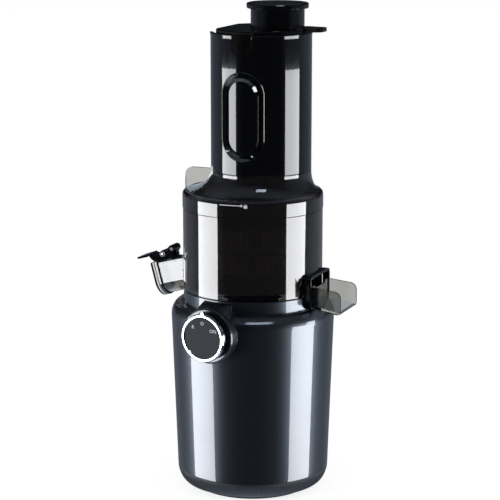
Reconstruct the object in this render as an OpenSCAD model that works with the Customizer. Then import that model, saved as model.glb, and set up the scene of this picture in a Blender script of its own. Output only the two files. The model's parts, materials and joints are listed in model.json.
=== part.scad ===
// Upright cold press juicer: motor base, juicing bowl, strainer, auger, tinted lid, feed tube and pusher.
// Millimetres, +Z up. The origin is where the drive axis meets the floor. -Y is the front of the bowl
// and hopper, -X is the juice side and +X the pulp side.

/* [Base] */
// widest radius of the base, at the shoulder
base_top_r = 73; // [71:0.5:75]
// radius of the base where the wall meets the rounded bottom
base_low_r = 68.2; // [66:0.2:70]
// underside of the housing above the floor
foot_h = 4.2; // [3:0.2:5]
// inside radius of the rubber foot ring
foot_ring_r = 44; // [43:0.5:45]
// radial width of the rubber foot ring
foot_ring_w = 8; // [6:0.5:8]
// height of the rounded bottom
corner_h = 18; // [15:0.5:20]
// radial depth of the rounded bottom
corner_w = 9; // [8:0.5:10]
// top of the shoulder above the floor
shoulder_z = 170.3; // [160:0.5:180]
// height of the shoulder rounding
shoulder_h = 11.8; // [10:0.2:14]
// radial depth of the shoulder rounding
shoulder_w = 8.5; // [7:0.5:9]
// height of the collar that takes the bowl
collar_h = 11.7; // [10:0.1:14]
// wall of the base housing
housing_wall = 2.6; // [2.2:0.1:3]
// depth of the collar's well below its rim
well_depth = 14.9; // [14:0.1:16]
// thickness of the deck at the bottom of the well
deck_t = 3; // [2.5:0.25:3.5]
// radius of the hub on the deck
hub_r = 17; // [16:0.5:18]
// height of the hub above the deck
hub_h = 12; // [10:0.5:12.5]
// radius of the shaft passage in the hub
hub_bore_r = 13; // [12:0.5:14]
// radius of the hole in the cable gland
cable_r = 3.4; // [3:0.1:4]
// height of the cable gland above the housing's underside
gland_h = 24; // [22:1:40]

/* [Knob] */
// turn of the base front away from the bowl front, towards the juice side
base_turn = -7.3; // [-12:0.1:0]
// knob axis below the top of the shoulder
knob_drop = 16.8; // [15.5:0.1:20]
// radius of the chrome ring
ring_r = 21.3; // [20:0.1:22]
// face width of the chrome ring
ring_w = 3.3; // [2.8:0.1:3.6]
// depth of the chrome ring
ring_depth = 4; // [3:0.25:4.5]
// front of the ring from the base's widest wall
knob_reach = 13.6; // [12.5:0.1:15]
// front of the boss from the base's widest wall
boss_reach = 5; // [4:0.1:6]
// how far the boss stands out round the ring
boss_rim = 3.4; // [2.5:0.1:4]
// how far the skirt stands in behind the ring
skirt_step = 1.2; // [0.8:0.1:1.8]
// length of the pointer nib outside the ring
nib_len = 1.9; // [1.5:0.1:2.5]
// radius of the knob's hollow hub
knob_hub_r = 6; // [5.5:0.25:6.5]
// radius of the post that holds the fixed dial
post_r = 3.6; // [3:0.1:4]
// thickness of the fixed dial
dial_t = 1.4; // [1:0.1:1.6]
// width of the rotary switch
switch_w = 26; // [24:1:30]
// height of the rotary switch
switch_h = 25; // [24:1:28]
// how far the rotary switch reaches below the knob axis
switch_drop = 20; // [19:0.5:22]
// depth of the rotary switch
switch_d = 17.5; // [16.5:0.5:19]

/* [Drive] */
// module of the planetary gears
gear_m = 1; // [0.95:0.05:1]
// teeth on the sun pinion
sun_n = 12; // [12:12:12]
// teeth on each planet
planet_n = 24; // [24:24:24]
// planets round the sun
planet_count = 3; // [3:1:3]
// face width of the planets
planet_w = 12; // [10:0.5:13]
// bottom of the planets below the deck
gear_drop = 50; // [48:1:54]
// radius of the planet pins
pin_r = 3; // [2.5:0.1:3.5]
// thickness of the planet carrier
carrier_t = 5.6; // [5:0.1:6]
// rim of the ring gear outside its teeth
ring_rim = 4; // [3.5:0.25:5]
// wall of the gearbox case
case_wall = 2.5; // [2:0.25:4]
// thickness of the gearbox case's floor
case_floor_t = 5.2; // [4.5:0.1:6]
// room between the case's floor and the planets
case_low_gap = 4; // [3.5:0.25:5]
// room for the carrier above the planets
carrier_room = 10; // [9:0.5:11]
// length of the shaft's bearing in the top of the case
bearing_h = 9; // [7:0.5:10]
// radius of the circle of deck screws
deck_screw_r = 30; // [28:0.5:30]
// outside radius of the motor can
can_r = 33; // [31:0.5:35]
// wall of the motor can
can_wall = 2; // [1.5:0.25:2.5]
// bottom of the motor can above the housing's underside
can_rise = 18; // [17:0.5:20]
// bottom of the windings above the bottom of the can
core_rise = 12; // [10:0.5:14]
// room between the windings and the top of the can
core_room = 17.5; // [16:0.5:20]
// depth of the winding slots in the stator
slot_depth = 5; // [4:0.25:6]
// width of the winding slots in the stator
slot_gap = 2.4; // [2:0.1:3]
// radius of the armature
armature_r = 21.5; // [20:0.25:22]
// air gap between armature and stator
air_gap = 0.5; // [0.4:0.1:0.8]
// radius of the motor shaft
motor_shaft_r = 4; // [3.5:0.1:4.5]
// radius of the shaft tip that carries the sun pinion
pinion_bore_r = 2.6; // [2.4:0.1:2.8]
// radius of the output shaft
drive_r = 8; // [7:0.25:8.5]
// radius of the output shaft where it passes the bowl seal
shaft_seat_r = 9.2; // [9:0.1:9.6]
// width across the flats of the drive hexagon
hex_af = 12; // [11:0.5:13]
// length of the drive hexagon
hex_h = 20; // [16:1:22]
// radius of the cooling fan
fan_r = 28; // [25:0.5:30]
// height of the cooling fan
fan_h = 8.9; // [8:0.1:9.5]
// blades on the cooling fan
fan_blades = 9; // [7:1:11]

/* [Bowl] */
// outside radius of the bowl
bowl_r = 62.1; // [61.5:0.1:62.6]
// wall of the bowl
bowl_wall = 2.4; // [2:0.1:2.8]
// height of the bowl wall
bowl_h = 73.3; // [72:0.1:80]
// thickness of the bowl floor
bowl_floor_t = 5.4; // [4.5:0.1:5.8]
// how far the bowl neck stands in under the lid skirt
neck_inset = 3.4; // [3.2:0.1:3.8]
// height of the bowl neck
neck_h = 8.6; // [8:0.1:9]
// wall of the bowl neck and foot
neck_wall = 2.2; // [2:0.1:2.4]
// how far the bowl foot stands in inside the collar
foot_inset = 6.4; // [6.2:0.1:7]
// length of the bowl foot
foot_len = 12.2; // [11:0.1:12.6]
// radius of the shaft hole in the bowl floor
bowl_bore_r = 15; // [14.5:0.25:15.5]
// radial reach of the locking lugs
lug_w = 2.8; // [2.4:0.1:3]
// thickness of the locking lugs
lug_t = 3; // [2.6:0.1:3.2]
// width of each locking lug on the bowl foot, as an angle
lug_deg = 20; // [16:1:22]
// width of each locking lug under the lid, as an angle
lid_lug_deg = 16; // [14:1:17]

/* [Spout and chute] */
// downward slope of the juice spout
spout_slope = 15; // [13:0.25:16]
// height of the spout centre above the bowl's lower edge
spout_rise = 7.6; // [7.2:0.1:8]
// width of the juice spout
spout_w = 27.8; // [26:0.2:29]
// height of the juice spout
spout_h = 30.2; // [29:0.2:31]
// length of the juice spout from the bowl wall
spout_len = 25; // [24:0.1:27]
// wall of the juice spout
spout_wall = 2; // [1.8:0.1:2.4]
// lip round the end of the juice spout
spout_lip = 1.3; // [1:0.1:1.6]
// thickness of the juice cap
cap_t = 3.2; // [2.8:0.1:3.6]
// height of the lever pivot above the top of the spout
pivot_rise = 9.3; // [9:0.1:10]
// distance of the lever pivot from the bowl wall
pivot_w = 9.6; // [9.2:0.1:10.4]
// radius of the hinge pin
hinge_r = 1.5; // [1.3:0.1:1.7]
// reach of the lever's finger tab beyond the spout
tab_reach = 19.4; // [17:0.2:21]
// half width of the lever
lever_hw = 6.4; // [5.8:0.1:7]
// half width of the pulp outlet frame
frame_hw = 23.5; // [23:0.1:24]
// height of the pulp outlet frame
frame_h = 29.6; // [29:0.1:31]
// bottom of the pulp outlet frame below the bowl's lower edge
frame_drop = 10.9; // [10.6:0.1:11.2]
// outer face of the pulp outlet frame from the bowl wall
frame_d = 2.7; // [2.4:0.1:3.2]
// rim of the pulp outlet frame
frame_rim = 2.4; // [2:0.1:2.8]
// half width of the pulp outlet in the bowl wall
outlet_hw = 14; // [13:0.25:14]
// height of the pulp outlet
outlet_h = 10.4; // [9.6:0.1:10.8]
// length of the pulp chute from the bowl wall
chute_len = 29.4; // [27:0.2:32]
// fall of the pulp chute from the frame to its end
chute_fall = 4.6; // [3:0.1:5.5]
// wall of the pulp chute
chute_t = 1.8; // [1.5:0.1:2.2]

/* [Strainer and auger] */
// height of the strainer
strainer_h = 67; // [66:0.5:68.5]
// radial thickness of the strainer frame
strainer_t = 3.8; // [3.4:0.1:4.4]
// thickness of the steel sieve
sieve_t = 0.6; // [0.4:0.1:0.8]
// slots round the steel sieve
sieve_slots = 64; // [48:8:80]
// uprights of the strainer frame
strainer_bars = 8; // [6:2:10]
// radius of the auger flights
flight_r = 45; // [44:0.1:45.4]
// clearance between the flights and the strainer
flight_gap = 1.2; // [0.8:0.1:1.6]
// thickness of the auger flights at their outer edge
flight_t = 4; // [3.5:0.25:5]
// turns of the main flight
flight_turns = 2.25; // [2:0.25:2.5]
// radius of the auger core above its foot
core_low_r = 36; // [34:0.5:37]
// radius of the auger core near the top
core_top_r = 13; // [12:0.5:15]
// height of the auger
auger_h = 80; // [76:0.5:84]

/* [Hopper] */
// how far the lid skirt stands out from the bowl wall
lid_step = 0.4; // [0.2:0.1:0.8]
// height of the lid skirt and rim
lid_h = 14.8; // [14.6:0.1:18]
// wall of the lid
lid_wall = 2.2; // [2:0.1:2.4]
// height of the trumpet between lid rim and feed tube
trumpet_h = 18.5; // [16:0.25:24]
// outside radius of the feed tube
tube_r = 44.3; // [43.5:0.1:45]
// wall of the feed tube
tube_wall = 3.2; // [3:0.1:3.4]
// length of the feed tube
tube_len = 121.5; // [100:0.5:130]
// offset of the feed tube towards the pulp side
tube_x = 8; // [7.5:0.1:8.5]
// reach of the lid's handle fin from the lid skirt
fin_reach = 3; // [2:0.1:5]
// thickness of the handle fin
fin_t = 2.6; // [2:0.1:3]
// height of the handle fin above the lid rim
fin_h = 16.2; // [14:0.1:17]
// width of the long ring pressed into the front of the tube
oval_w = 38.6; // [34:0.2:40]
// height of the long ring
oval_h = 76.7; // [70:0.5:80]
// bottom of the long ring above the lower end of the tube
oval_rise = 13.2; // [8:0.2:16]
// width of the groove of the long ring
oval_groove_w = 4.6; // [3:0.1:6]
// width of the U slot for the gate ears
slot_w = 18.2; // [17:0.1:19]
// centre of the gate ears below the tube rim
ear_drop = 9.9; // [9:0.1:12]
// depth of the scoop in the rim on the juice side
scoop_d = 7; // [5:0.5:8]

/* [Gate and pusher] */
// top of the gate plate above the tube rim
gate_rise = 3.4; // [3:0.1:4]
// thickness of the gate plate
gate_t = 2.6; // [2.2:0.1:3]
// reach of the gate's finger tab outside the tube
tab_out = 14.6; // [12:0.2:17]
// gap between the pusher and the tube wall on the pulp side
pusher_off = 2.4; // [2:0.1:2.9]
// radius of the pusher
pusher_r = 23.4; // [23:0.1:23.6]
// wall of the pusher
pusher_wall = 2.2; // [1.8:0.1:2.6]
// how far the pusher flange stands out
flange_w = 3.6; // [3:0.1:4.5]
// underside of the pusher flange above the gate
pusher_rise = 17.3; // [15:0.5:30]
// thickness of the pusher flange
flange_t = 4.7; // [4.2:0.1:5.5]
// length of the pusher below its flange
pusher_len = 139; // [100:1:140]

/* [Hidden] */
$fn = 96;
run_gap = 0.08;
part_gap = 0.3;
steps = 8;
gloss = [0.055, 0.06, 0.07];
slate = [0.17, 0.19, 0.22];
tint = [0.25, 0.25, 0.24, 0.55];
steel = [0.72, 0.73, 0.75];
chrome_c = [0.88, 0.89, 0.9];
rubber_c = [0.12, 0.12, 0.13];
brass_c = [0.78, 0.6, 0.3];
nylon_c = [0.86, 0.84, 0.78];
copper_c = [0.72, 0.42, 0.24];
auger_c = [0.16, 0.16, 0.17];
dial_c = [0.2, 0.22, 0.25];
gate_c = [0.13, 0.11, 0.1];

// base heights and radii
corner_z = foot_h + corner_h;
cover_t = 3.4;
cover_r = base_low_r - corner_w - housing_wall - 0.6;
cover_screw_r = foot_ring_r - 3.8;
collar_r = bowl_r - 0.2;
collar_top_z = shoulder_z + collar_h;
deck_z = collar_top_z - well_depth;
deck_low_z = deck_z - deck_t;
gland_z = foot_h + gland_h;
gland_y = base_low_r - 5;

// the bowl's bayonet: base lugs above, bowl lugs below
foot_r = bowl_r - foot_inset;
well_r = foot_r + lug_w + 0.8;
base_lug_z = collar_top_z - 1.5 - lug_t;
bowl_lug_z = base_lug_z - 0.4 - lug_t;

// knob, measured outwards from the drive axis
knob_z = shoulder_z - knob_drop;
knob_front = base_top_r + knob_reach;
boss_front = base_top_r + boss_reach;
boss_back = base_top_r - 14;
boss_r = ring_r + boss_rim;
dial_r = ring_r - ring_w - 0.25;
dial_back = knob_front - 0.8 - dial_t;
switch_back = base_top_r - 25;
rotor_back = switch_back + 9.5;
rotor_t = 3;

// planetary gears
sun_r = gear_m * sun_n / 2;
planet_r = gear_m * planet_n / 2;
ring_n = sun_n + 2 * planet_n;
ring_pitch_r = gear_m * ring_n / 2;
ring_out_r = ring_pitch_r + ring_rim;
orbit_r = sun_r + planet_r;
pressure = 25;
backlash = 0.14;
planet_z = deck_low_z - gear_drop;
planet_top_z = planet_z + planet_w;
case_r = ring_out_r + case_wall;
case_in_z = planet_z - case_low_gap;
case_z = case_in_z - case_floor_t;
case_in_top_z = planet_top_z + carrier_room;
case_top_z = case_in_top_z + bearing_h;

// motor
can_z = foot_h + can_rise;
can_top_z = case_z - part_gap;
core_z = can_z + core_rise;
core_h = can_top_z - core_room - core_z;
stator_in_r = armature_r + air_gap;
fan_z = can_z - 2.5 - fan_h;

// bowl
bowl_z = collar_top_z + part_gap;
bowl_top_z = bowl_z + bowl_h;
bowl_floor_z = bowl_z + bowl_floor_t;
bowl_in_r = bowl_r - bowl_wall;
neck_r = bowl_r - neck_inset;
neck_top_z = bowl_top_z + neck_h;
bowl_hub_r = bowl_bore_r + 2.6;
bowl_hub_z = bowl_floor_z + 6;
shaft_top_z = bowl_hub_z + 0.4;
hex_top_z = shaft_top_z + hex_h;
neck_lug_z = neck_top_z - 4;
lid_lug_z = neck_lug_z - 0.4 - 2.6;

// spout, cap, outlet and chute
spout_top = spout_h / 2;
cap_w = spout_len + 1.2;
pivot_v = spout_top + pivot_rise;
tab_w = spout_len + tab_reach;
frame_z = bowl_z - frame_drop;
frame_top_z = frame_z + frame_h;
frame_x = bowl_r + frame_d;
chute_hw = frame_hw - frame_rim - 0.1;
chute_x = bowl_r + chute_len;
chute_back_x = bowl_r + 0.6;
chute_z = frame_z + 2 - chute_fall;
chute_top_z = frame_top_z - frame_rim - 7;
outlet_z = bowl_floor_z + 1.4;

// strainer and auger
strainer_in_r = flight_r + flight_gap;
strainer_r = strainer_in_r + strainer_t;
sieve_r = strainer_in_r + 1;
sieve_out_r = sieve_r + sieve_t;
strainer_z = bowl_floor_z + 0.4;
strainer_top_z = strainer_z + strainer_h;
low_band_z = strainer_z + 14;
high_band_z = strainer_top_z - 13;
auger_z = strainer_z + 3.2;
auger_top_z = auger_z + auger_h;
core_z0 = auger_z + 7.8;
core_z1 = auger_top_z - 12;
socket_r = 10;

// lid, tube, gate and pusher
lid_r = bowl_r + lid_step;
lid_z = bowl_top_z + part_gap;
lid_rim_z = lid_z + lid_h;
lid_seal_z = neck_top_z + part_gap;
tube_z = lid_rim_z + trumpet_h;
tube_in_r = tube_r - tube_wall;
tube_top_z = tube_z + tube_len;
ear_z = tube_top_z - ear_drop;
gate_top_z = tube_top_z + gate_rise;
plate_r = tube_in_r - 0.5;
pusher_x = tube_x + tube_in_r - pusher_off - pusher_r;
flange_z = gate_top_z + pusher_rise;
flange_r = pusher_r + flange_w;
pusher_z = flange_z - pusher_len;

// ---- shared shapes ----

// a ring or disc from z0 to z1
module tube(r_out, r_in, z0, z1) {
  translate([0, 0, z0])
    difference() {
      cylinder(r = r_out, h = z1 - z0);
      if (r_in > 0)
        translate([0, 0, -1])
          cylinder(r = r_in, h = z1 - z0 + 2);
    }
}

// part of a ring, centred on an angle
module sector(r_out, r_in, z0, z1, mid, wide) {
  rotate([0, 0, mid - wide / 2])
    translate([0, 0, z0])
      rotate_extrude(angle = wide)
        translate([r_in, 0])
          square([r_out - r_in, z1 - z0]);
}

// a copy of the children at each of n places round the axis
module ring_of(n, first = 0) {
  for (k = [0 : n - 1])
    rotate([0, 0, first + 360 / n * k])
      children();
}

// frame whose +Z runs out of the base along the knob axis, +Y up
module knob_frame() {
  rotate([0, 0, base_turn])
    translate([0, 0, knob_z])
      rotate([90, 0, 0])
        children();
}

// frame whose +Z runs out along the juice spout, +X up
module spout_frame() {
  translate([-bowl_r, 0, bowl_z + spout_rise])
    rotate([0, -90 - spout_slope, 0])
      children();
}

// a plate drawn as [out, up] points along the spout, spread over the width
module spout_plate(half) {
  spout_frame()
    rotate([90, 0, 0])
      rotate([0, 0, 90])
        mirror([0, 1, 0])
          translate([0, 0, -half])
            linear_extrude(height = 2 * half)
              children();
}

// a round bar across the spout, at a place given as out and up
module spout_bar(out, up, r, half) {
  spout_frame()
    translate([up, -half, out])
      rotate([-90, 0, 0])
        cylinder(r = r, h = 2 * half);
}

// U-shaped section of the spout, grown by a margin
module u_section(grow) {
  w = spout_w / 2 + grow;
  mid = spout_w / 2 - spout_top;
  translate([mid, 0])
    circle(r = w);
  translate([mid, -w])
    square([spout_top + grow - mid, 2 * w]);
}

// rounded rectangle standing in the Y-Z plane
module upright_block(x0, x1, half_y, z0, z1, r) {
  translate([x0, 0, 0])
    rotate([90, 0, 90])
      linear_extrude(height = x1 - x0)
        translate([0, (z0 + z1) / 2])
          offset(r = r, $fn = 24)
            square([2 * (half_y - r), z1 - z0 - 2 * r], center = true);
}

function involute(a) = tan(a) * 180 / PI - a;
function flank(r, rp, half) =
  half + involute(pressure) - involute(acos(min(1, rp * cos(pressure) / r)));

// outline of a toothed disc: half is the half angle of a tooth at the pitch circle
function tooth_points(n, rp, r0, r1, half) =
  let (lo = max(r0, rp * cos(pressure) + 0.01), q = 4)
  [for (k = [0 : n - 1])
    let (c = 360 * k / n)
    for (s = [-1, 1])
      for (j = [0 : q + 1])
        let (i = s < 0 ? j : q + 1 - j,
          r = i == 0 ? r0 : lo + (r1 - lo) * (i - 1) / q,
          a = c + s * flank(max(r, lo), rp, half))
        [r * cos(a), r * sin(a)]];

module toothed_disc(n, r0, r1, slack) {
  rp = gear_m * n / 2;
  half = 90 / n + slack / rp * 90 / PI;
  polygon(tooth_points(n, rp, r0, r1, half));
}

// an outer gear with its usual root and tip
module gear(n) {
  toothed_disc(n, gear_m * (n / 2 - 1.25), gear_m * (n / 2 + 1), -backlash / 2);
}

// skin through round sections given as [x, radius, z]
module loft(sections, n) {
  m = len(sections);
  pts = [for (s = sections) for (k = [0 : n - 1])
    [s[0] + s[1] * cos(360 * k / n), s[1] * sin(360 * k / n), s[2]]];
  sides = [for (i = [0 : m - 2]) for (k = [0 : n - 1])
    [i * n + k, (i + 1) * n + k, (i + 1) * n + (k + 1) % n, i * n + (k + 1) % n]];
  low = [[for (k = [0 : n - 1]) k]];
  top = [[for (k = [0 : n - 1]) (m - 1) * n + n - 1 - k]];
  polyhedron(points = pts, faces = concat(sides, low, top), convexity = 4);
}

// ---- base ----

// wall of the base from its rounded bottom to the shoulder
function base_outline() = concat(
  [for (i = [0 : steps]) let (a = 90 - 90 * i / steps)
    [base_low_r - corner_w + corner_w * cos(a), corner_z - corner_h * sin(a)]],
  [for (i = [0 : steps]) let (a = 90 * i / steps)
    [base_top_r - shoulder_w + shoulder_w * cos(a), shoulder_z - shoulder_h * (1 - sin(a))]]);

// the same wall from inside
function base_cavity() = concat(
  [for (i = [0 : steps]) let (a = 90 - 90 * i / steps)
    [base_low_r - corner_w - housing_wall + corner_w * cos(a), corner_z + 1 - (corner_h - 2) * sin(a)]],
  [[base_top_r - housing_wall, shoulder_z - shoulder_h - 1],
    [base_top_r - shoulder_w - housing_wall, deck_low_z], [0, deck_low_z]]);

module base_housing() {
  color(slate)
    difference() {
      union() {
        rotate_extrude()
          polygon(concat([[0, foot_h]], base_outline(), [[collar_r, shoulder_z],
            [collar_r, collar_top_z - 0.6], [collar_r - 0.6, collar_top_z], [0, collar_top_z]]));
        knob_boss();
      }
      rotate_extrude()
        polygon(concat([[0, foot_h + 2]], base_cavity()));
      tube(cover_r + 0.2, 0, foot_h - 1, foot_h + 5);
      difference() {
        tube(well_r, 0, deck_z, deck_z + 30);
        tube(hub_r, 0, deck_z - 1, deck_z + hub_h);
        base_lugs();
      }
      tube(hub_bore_r, 0, deck_low_z - 1, deck_z + 40);
      knob_frame()
        cylinder(r = knob_hub_r + run_gap, h = 100);
      rotate([0, 0, base_turn])
        translate([0, gland_y - 8, gland_z])
          rotate([-90, 0, 0])
            cylinder(r = cable_r + 1.8, h = 16);
      ring_of(3, 60)
        translate([deck_screw_r, 0, 0])
          tube(1.7, 0, deck_low_z - 1, deck_z + 1);
    }
}

// lugs in the collar that hold the bowl's lugs down
module base_lugs() {
  ring_of(3, 90)
    sector(well_r + 0.5, foot_r + 0.5, base_lug_z, base_lug_z + lug_t, 0, lug_deg);
}

// round seat of the knob, blended into the collar above it
module knob_boss() {
  boss_h = boss_front - boss_back;
  knob_frame()
    translate([0, 0, boss_back])
      rotate_extrude()
        polygon([[0, 0], [boss_r, 0], [boss_r, boss_h - 1.5], [boss_r - 0.6, boss_h - 0.4],
          [boss_r - 1.7, boss_h], [0, boss_h]]);
  hull() {
    knob_frame()
      translate([0, 0, boss_front - 3.2])
        cylinder(r = boss_r - 0.7, h = 1, $fn = 32);
    rotate([0, 0, base_turn])
      sector(collar_r - 0.25, collar_r - 2, shoulder_z - 3, collar_top_z - 1.6, -90, 25, $fn = 64);
  }
}

module bottom_cover() {
  color(slate)
    difference() {
      tube(cover_r, 0, foot_h, foot_h + cover_t);
      tube(foot_ring_r + foot_ring_w + 0.2, foot_ring_r - 0.2, foot_h - 1, foot_h + 0.5);
      for (r = [24, 30, 36])
        ring_of(8)
          sector(r + 1.6, r - 1.6, foot_h - 1, foot_h + cover_t + 1, 0, 28);
      ring_of(4, 45)
        translate([cover_screw_r, 0, 0]) {
          tube(1.6, 0, foot_h - 1, foot_h + cover_t + 1);
          tube(3.1, 0, foot_h - 1, foot_h + 1.4);
        }
    }
}

module foot_ring() {
  color(rubber_c)
    tube(foot_ring_r + foot_ring_w, foot_ring_r, 0, foot_h + 0.5);
}

module cable_gland() {
  hole_r = cable_r + 1.8;
  color(rubber_c)
    rotate([0, 0, base_turn])
      translate([0, gland_y - 0.4, gland_z])
        rotate([-90, 0, 0])
          rotate_extrude()
            polygon([[cable_r, 0], [hole_r + 1.8, 0], [hole_r + 1.8, 2], [hole_r, 2.4], [hole_r, 6],
              [hole_r + 1.8, 6.6], [hole_r + 1.2, 8.6], [cable_r, 8.6]]);
}

module cover_screws() {
  color(steel)
    ring_of(4, 45)
      translate([cover_screw_r, 0, foot_h])
        difference() {
          union() {
            tube(2.9, 0, -0.8, 1.3);
            tube(1.55, 0, 1, 12);
          }
          cross_slot(-1, 0);
        }
}

// cross recess of a screw head
module cross_slot(z0, z1) {
  for (a = [0, 90])
    rotate([0, 0, a])
      translate([-2, -0.35, z0])
        cube([4, 0.7, z1 - z0]);
}

// ---- knob and switch ----

module dial_face() {
  color(dial_c)
    knob_frame() {
      tube(dial_r, 0, dial_back, dial_back + dial_t);
      tube(post_r, 0, switch_back + 4, dial_back + 0.2);
    }
}

module knob_ring() {
  in_r = ring_r - ring_w;
  color(chrome_c)
    knob_frame()
      translate([0, 0, knob_front - ring_depth]) {
        rotate_extrude()
          polygon([[in_r, 0], [ring_r, 0], [ring_r, ring_depth - 1.2], [ring_r - 0.4, ring_depth - 0.4],
            [ring_r - 1.2, ring_depth], [in_r + 0.8, ring_depth], [in_r, ring_depth - 0.8]]);
        translate([0, 0, 0.4])
          linear_extrude(height = ring_depth - 1)
            polygon([[-2.1, ring_r - 0.5], [2.1, ring_r - 0.5], [0.35, ring_r + nib_len],
              [-0.35, ring_r + nib_len]]);
      }
}

module knob_body() {
  cup_r = ring_r - ring_w - 0.6;
  color(gloss)
    knob_frame() {
      difference() {
        tube(ring_r - skirt_step, 0, boss_front + part_gap, knob_front - ring_depth);
        tube(cup_r, 0, boss_front + 2.4, knob_front);
        tube(post_r + run_gap, 0, 0, knob_front);
      }
      tube(knob_hub_r, post_r + run_gap, switch_back + 8, boss_front + 1);
    }
}

module switch_rotor() {
  color(brass_c)
    knob_frame()
      difference() {
        union() {
          tube(knob_hub_r + 2.4, 0, rotor_back, rotor_back + rotor_t);
          translate([0, -knob_hub_r - 1.5, 0])
            tube(2.6, 0, rotor_back, rotor_back + rotor_t);
        }
        cylinder(r = knob_hub_r, h = 100);
      }
}

module switch_body() {
  half = switch_w / 2;
  color(nylon_c)
    knob_frame()
      difference() {
        translate([-half, -switch_drop, switch_back])
          cube([switch_w, switch_h, switch_d]);
        tube(knob_hub_r + 4.4, 0, rotor_back - 1, rotor_back + rotor_t + 1);
        tube(knob_hub_r + part_gap, 0, switch_back + 7.5, switch_back + 30);
        tube(post_r, 0, switch_back + 4, switch_back + 14);
        translate([-9, -17, switch_back - 1])
          cube([18, 6, 6]);
        translate([1 - half, -11, rotor_back - 1])
          cube([switch_w - 2, 22, rotor_t + 2]);
      }
}

// ---- motor and gears ----

module motor_can() {
  in_r = can_r - can_wall;
  color(steel)
    difference() {
      rotate_extrude()
        polygon([[10, can_z], [can_r - 2, can_z], [can_r, can_z + 2], [can_r, can_top_z],
          [in_r, can_top_z], [in_r, can_z + 2], [10, can_z + 2]]);
      ring_of(8)
        translate([can_r - 3, -4, can_z + 8])
          cube([6, 8, 6]);
    }
}

module end_cap() {
  color(steel)
    difference() {
      union() {
        tube(can_r - can_wall, 0, can_top_z - 4, can_top_z);
        tube(9, 0, can_top_z - 9, can_top_z);
      }
      tube(motor_shaft_r + run_gap, 0, can_top_z - 12, can_top_z + 1);
      ring_of(4)
        sector(26, 16, can_top_z - 5, can_top_z + 1, 0, 40);
    }
}

module stator() {
  color(copper_c)
    difference() {
      tube(can_r - can_wall, stator_in_r, core_z, core_z + core_h);
      ring_of(12)
        translate([armature_r, -slot_gap / 2, core_z - 1])
          cube([air_gap + slot_depth, slot_gap, core_h + 2]);
    }
}

module armature() {
  color(copper_c)
    difference() {
      union() {
        tube(armature_r, 0, core_z, core_z + core_h);
        tube(13, 0, core_z + core_h, core_z + core_h + 6);
      }
      tube(motor_shaft_r, 0, core_z - 1, core_z + core_h + 10);
      ring_of(12)
        translate([armature_r - 4, -0.9, core_z - 1])
          cube([6, 1.8, core_h + 2]);
    }
}

module motor_shaft() {
  color(steel)
    union() {
      tube(motor_shaft_r, 0, fan_z - 1, planet_z - 3);
      tube(pinion_bore_r, 0, planet_z - 3, planet_top_z);
    }
}

module sun_pinion() {
  color(brass_c)
    difference() {
      translate([0, 0, planet_z - 1])
        linear_extrude(height = planet_w + 1)
          gear(sun_n);
      tube(pinion_bore_r, 0, planet_z - 2, planet_top_z + 1);
    }
}

module planet(k) {
  color(nylon_c)
    rotate([0, 0, 360 / planet_count * k])
      translate([orbit_r, 0, planet_z])
        difference() {
          rotate([0, 0, 180 / planet_n])
            linear_extrude(height = planet_w)
              gear(planet_n);
          tube(pin_r + 0.05, 0, -1, planet_w + 1);
          ring_of(5)
            translate([planet_r - 5, 0, 0])
              tube(1.8, 0, -1, planet_w + 1);
        }
}

module planet_a() { planet(0); }
module planet_b() { planet(1); }
module planet_c() { planet(2); }

module ring_gear() {
  color(nylon_c)
    difference() {
      tube(ring_out_r, 0, planet_z - 1, planet_top_z + 1);
      translate([0, 0, planet_z - 2])
        rotate([0, 0, 180 / ring_n])
          linear_extrude(height = planet_w + 4)
            toothed_disc(ring_n, ring_pitch_r - gear_m, ring_pitch_r + 1.25 * gear_m, backlash / 2);
    }
}

module planet_carrier() {
  color(steel)
    union() {
      difference() {
        tube(ring_pitch_r - 3, 0, planet_top_z + 0.4, planet_top_z + 0.4 + carrier_t);
        tube(drive_r, 0, planet_top_z + 1.5, planet_top_z + carrier_t + 2);
      }
      ring_of(planet_count)
        translate([orbit_r, 0, 0])
          tube(pin_r, 0, planet_z - 0.6, planet_top_z + 2.4);
    }
}

module drive_shaft() {
  hex_r = hex_af / sqrt(3);
  color(steel)
    union() {
      tube(drive_r, 0, planet_top_z + 1.5, shaft_top_z);
      tube(shaft_seat_r, 0, bowl_z - 6.7, shaft_top_z);
      translate([0, 0, shaft_top_z])
        cylinder(r = hex_r, h = hex_h - 1, $fn = 6);
      translate([0, 0, hex_top_z - 1])
        cylinder(r1 = hex_r, r2 = hex_r - 1, h = 1, $fn = 6);
    }
}

module gearbox_case() {
  color(nylon_c)
    difference() {
      union() {
        tube(case_r, 0, case_z, case_top_z);
        ring_of(3, 60)
          translate([deck_screw_r, 0, 0])
            tube(5, 0, case_top_z - 6, deck_low_z);
        ring_of(6)
          translate([case_r - 1, -1.2, case_z + 1.2])
            cube([3, 2.4, case_top_z - case_z - 2.4]);
      }
      tube(ring_out_r, 0, case_in_z, case_in_top_z);
      tube(motor_shaft_r + run_gap, 0, case_z - 1, case_in_z + 1);
      tube(drive_r + run_gap, 0, case_in_top_z - 1, case_top_z + 1);
      ring_of(3, 60)
        translate([deck_screw_r, 0, 0])
          tube(1.5, 0, case_top_z + 4, deck_low_z + 1);
    }
}

module shaft_seal() {
  lip_r = drive_r + run_gap;
  color(rubber_c)
    rotate_extrude()
      polygon([[lip_r, deck_z], [hub_bore_r, deck_z], [hub_bore_r, deck_z + 7.5],
        [lip_r + 1.5, deck_z + 7.5], [lip_r, deck_z + 5.5]]);
}

module deck_screws() {
  color(steel)
    ring_of(3, 60)
      translate([deck_screw_r, 0, deck_z])
        difference() {
          union() {
            tube(1.5, 0, case_top_z + 6 - deck_z, 0.5);
            tube(3, 0, 0, 2);
          }
          cross_slot(1.2, 3);
        }
}

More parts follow.
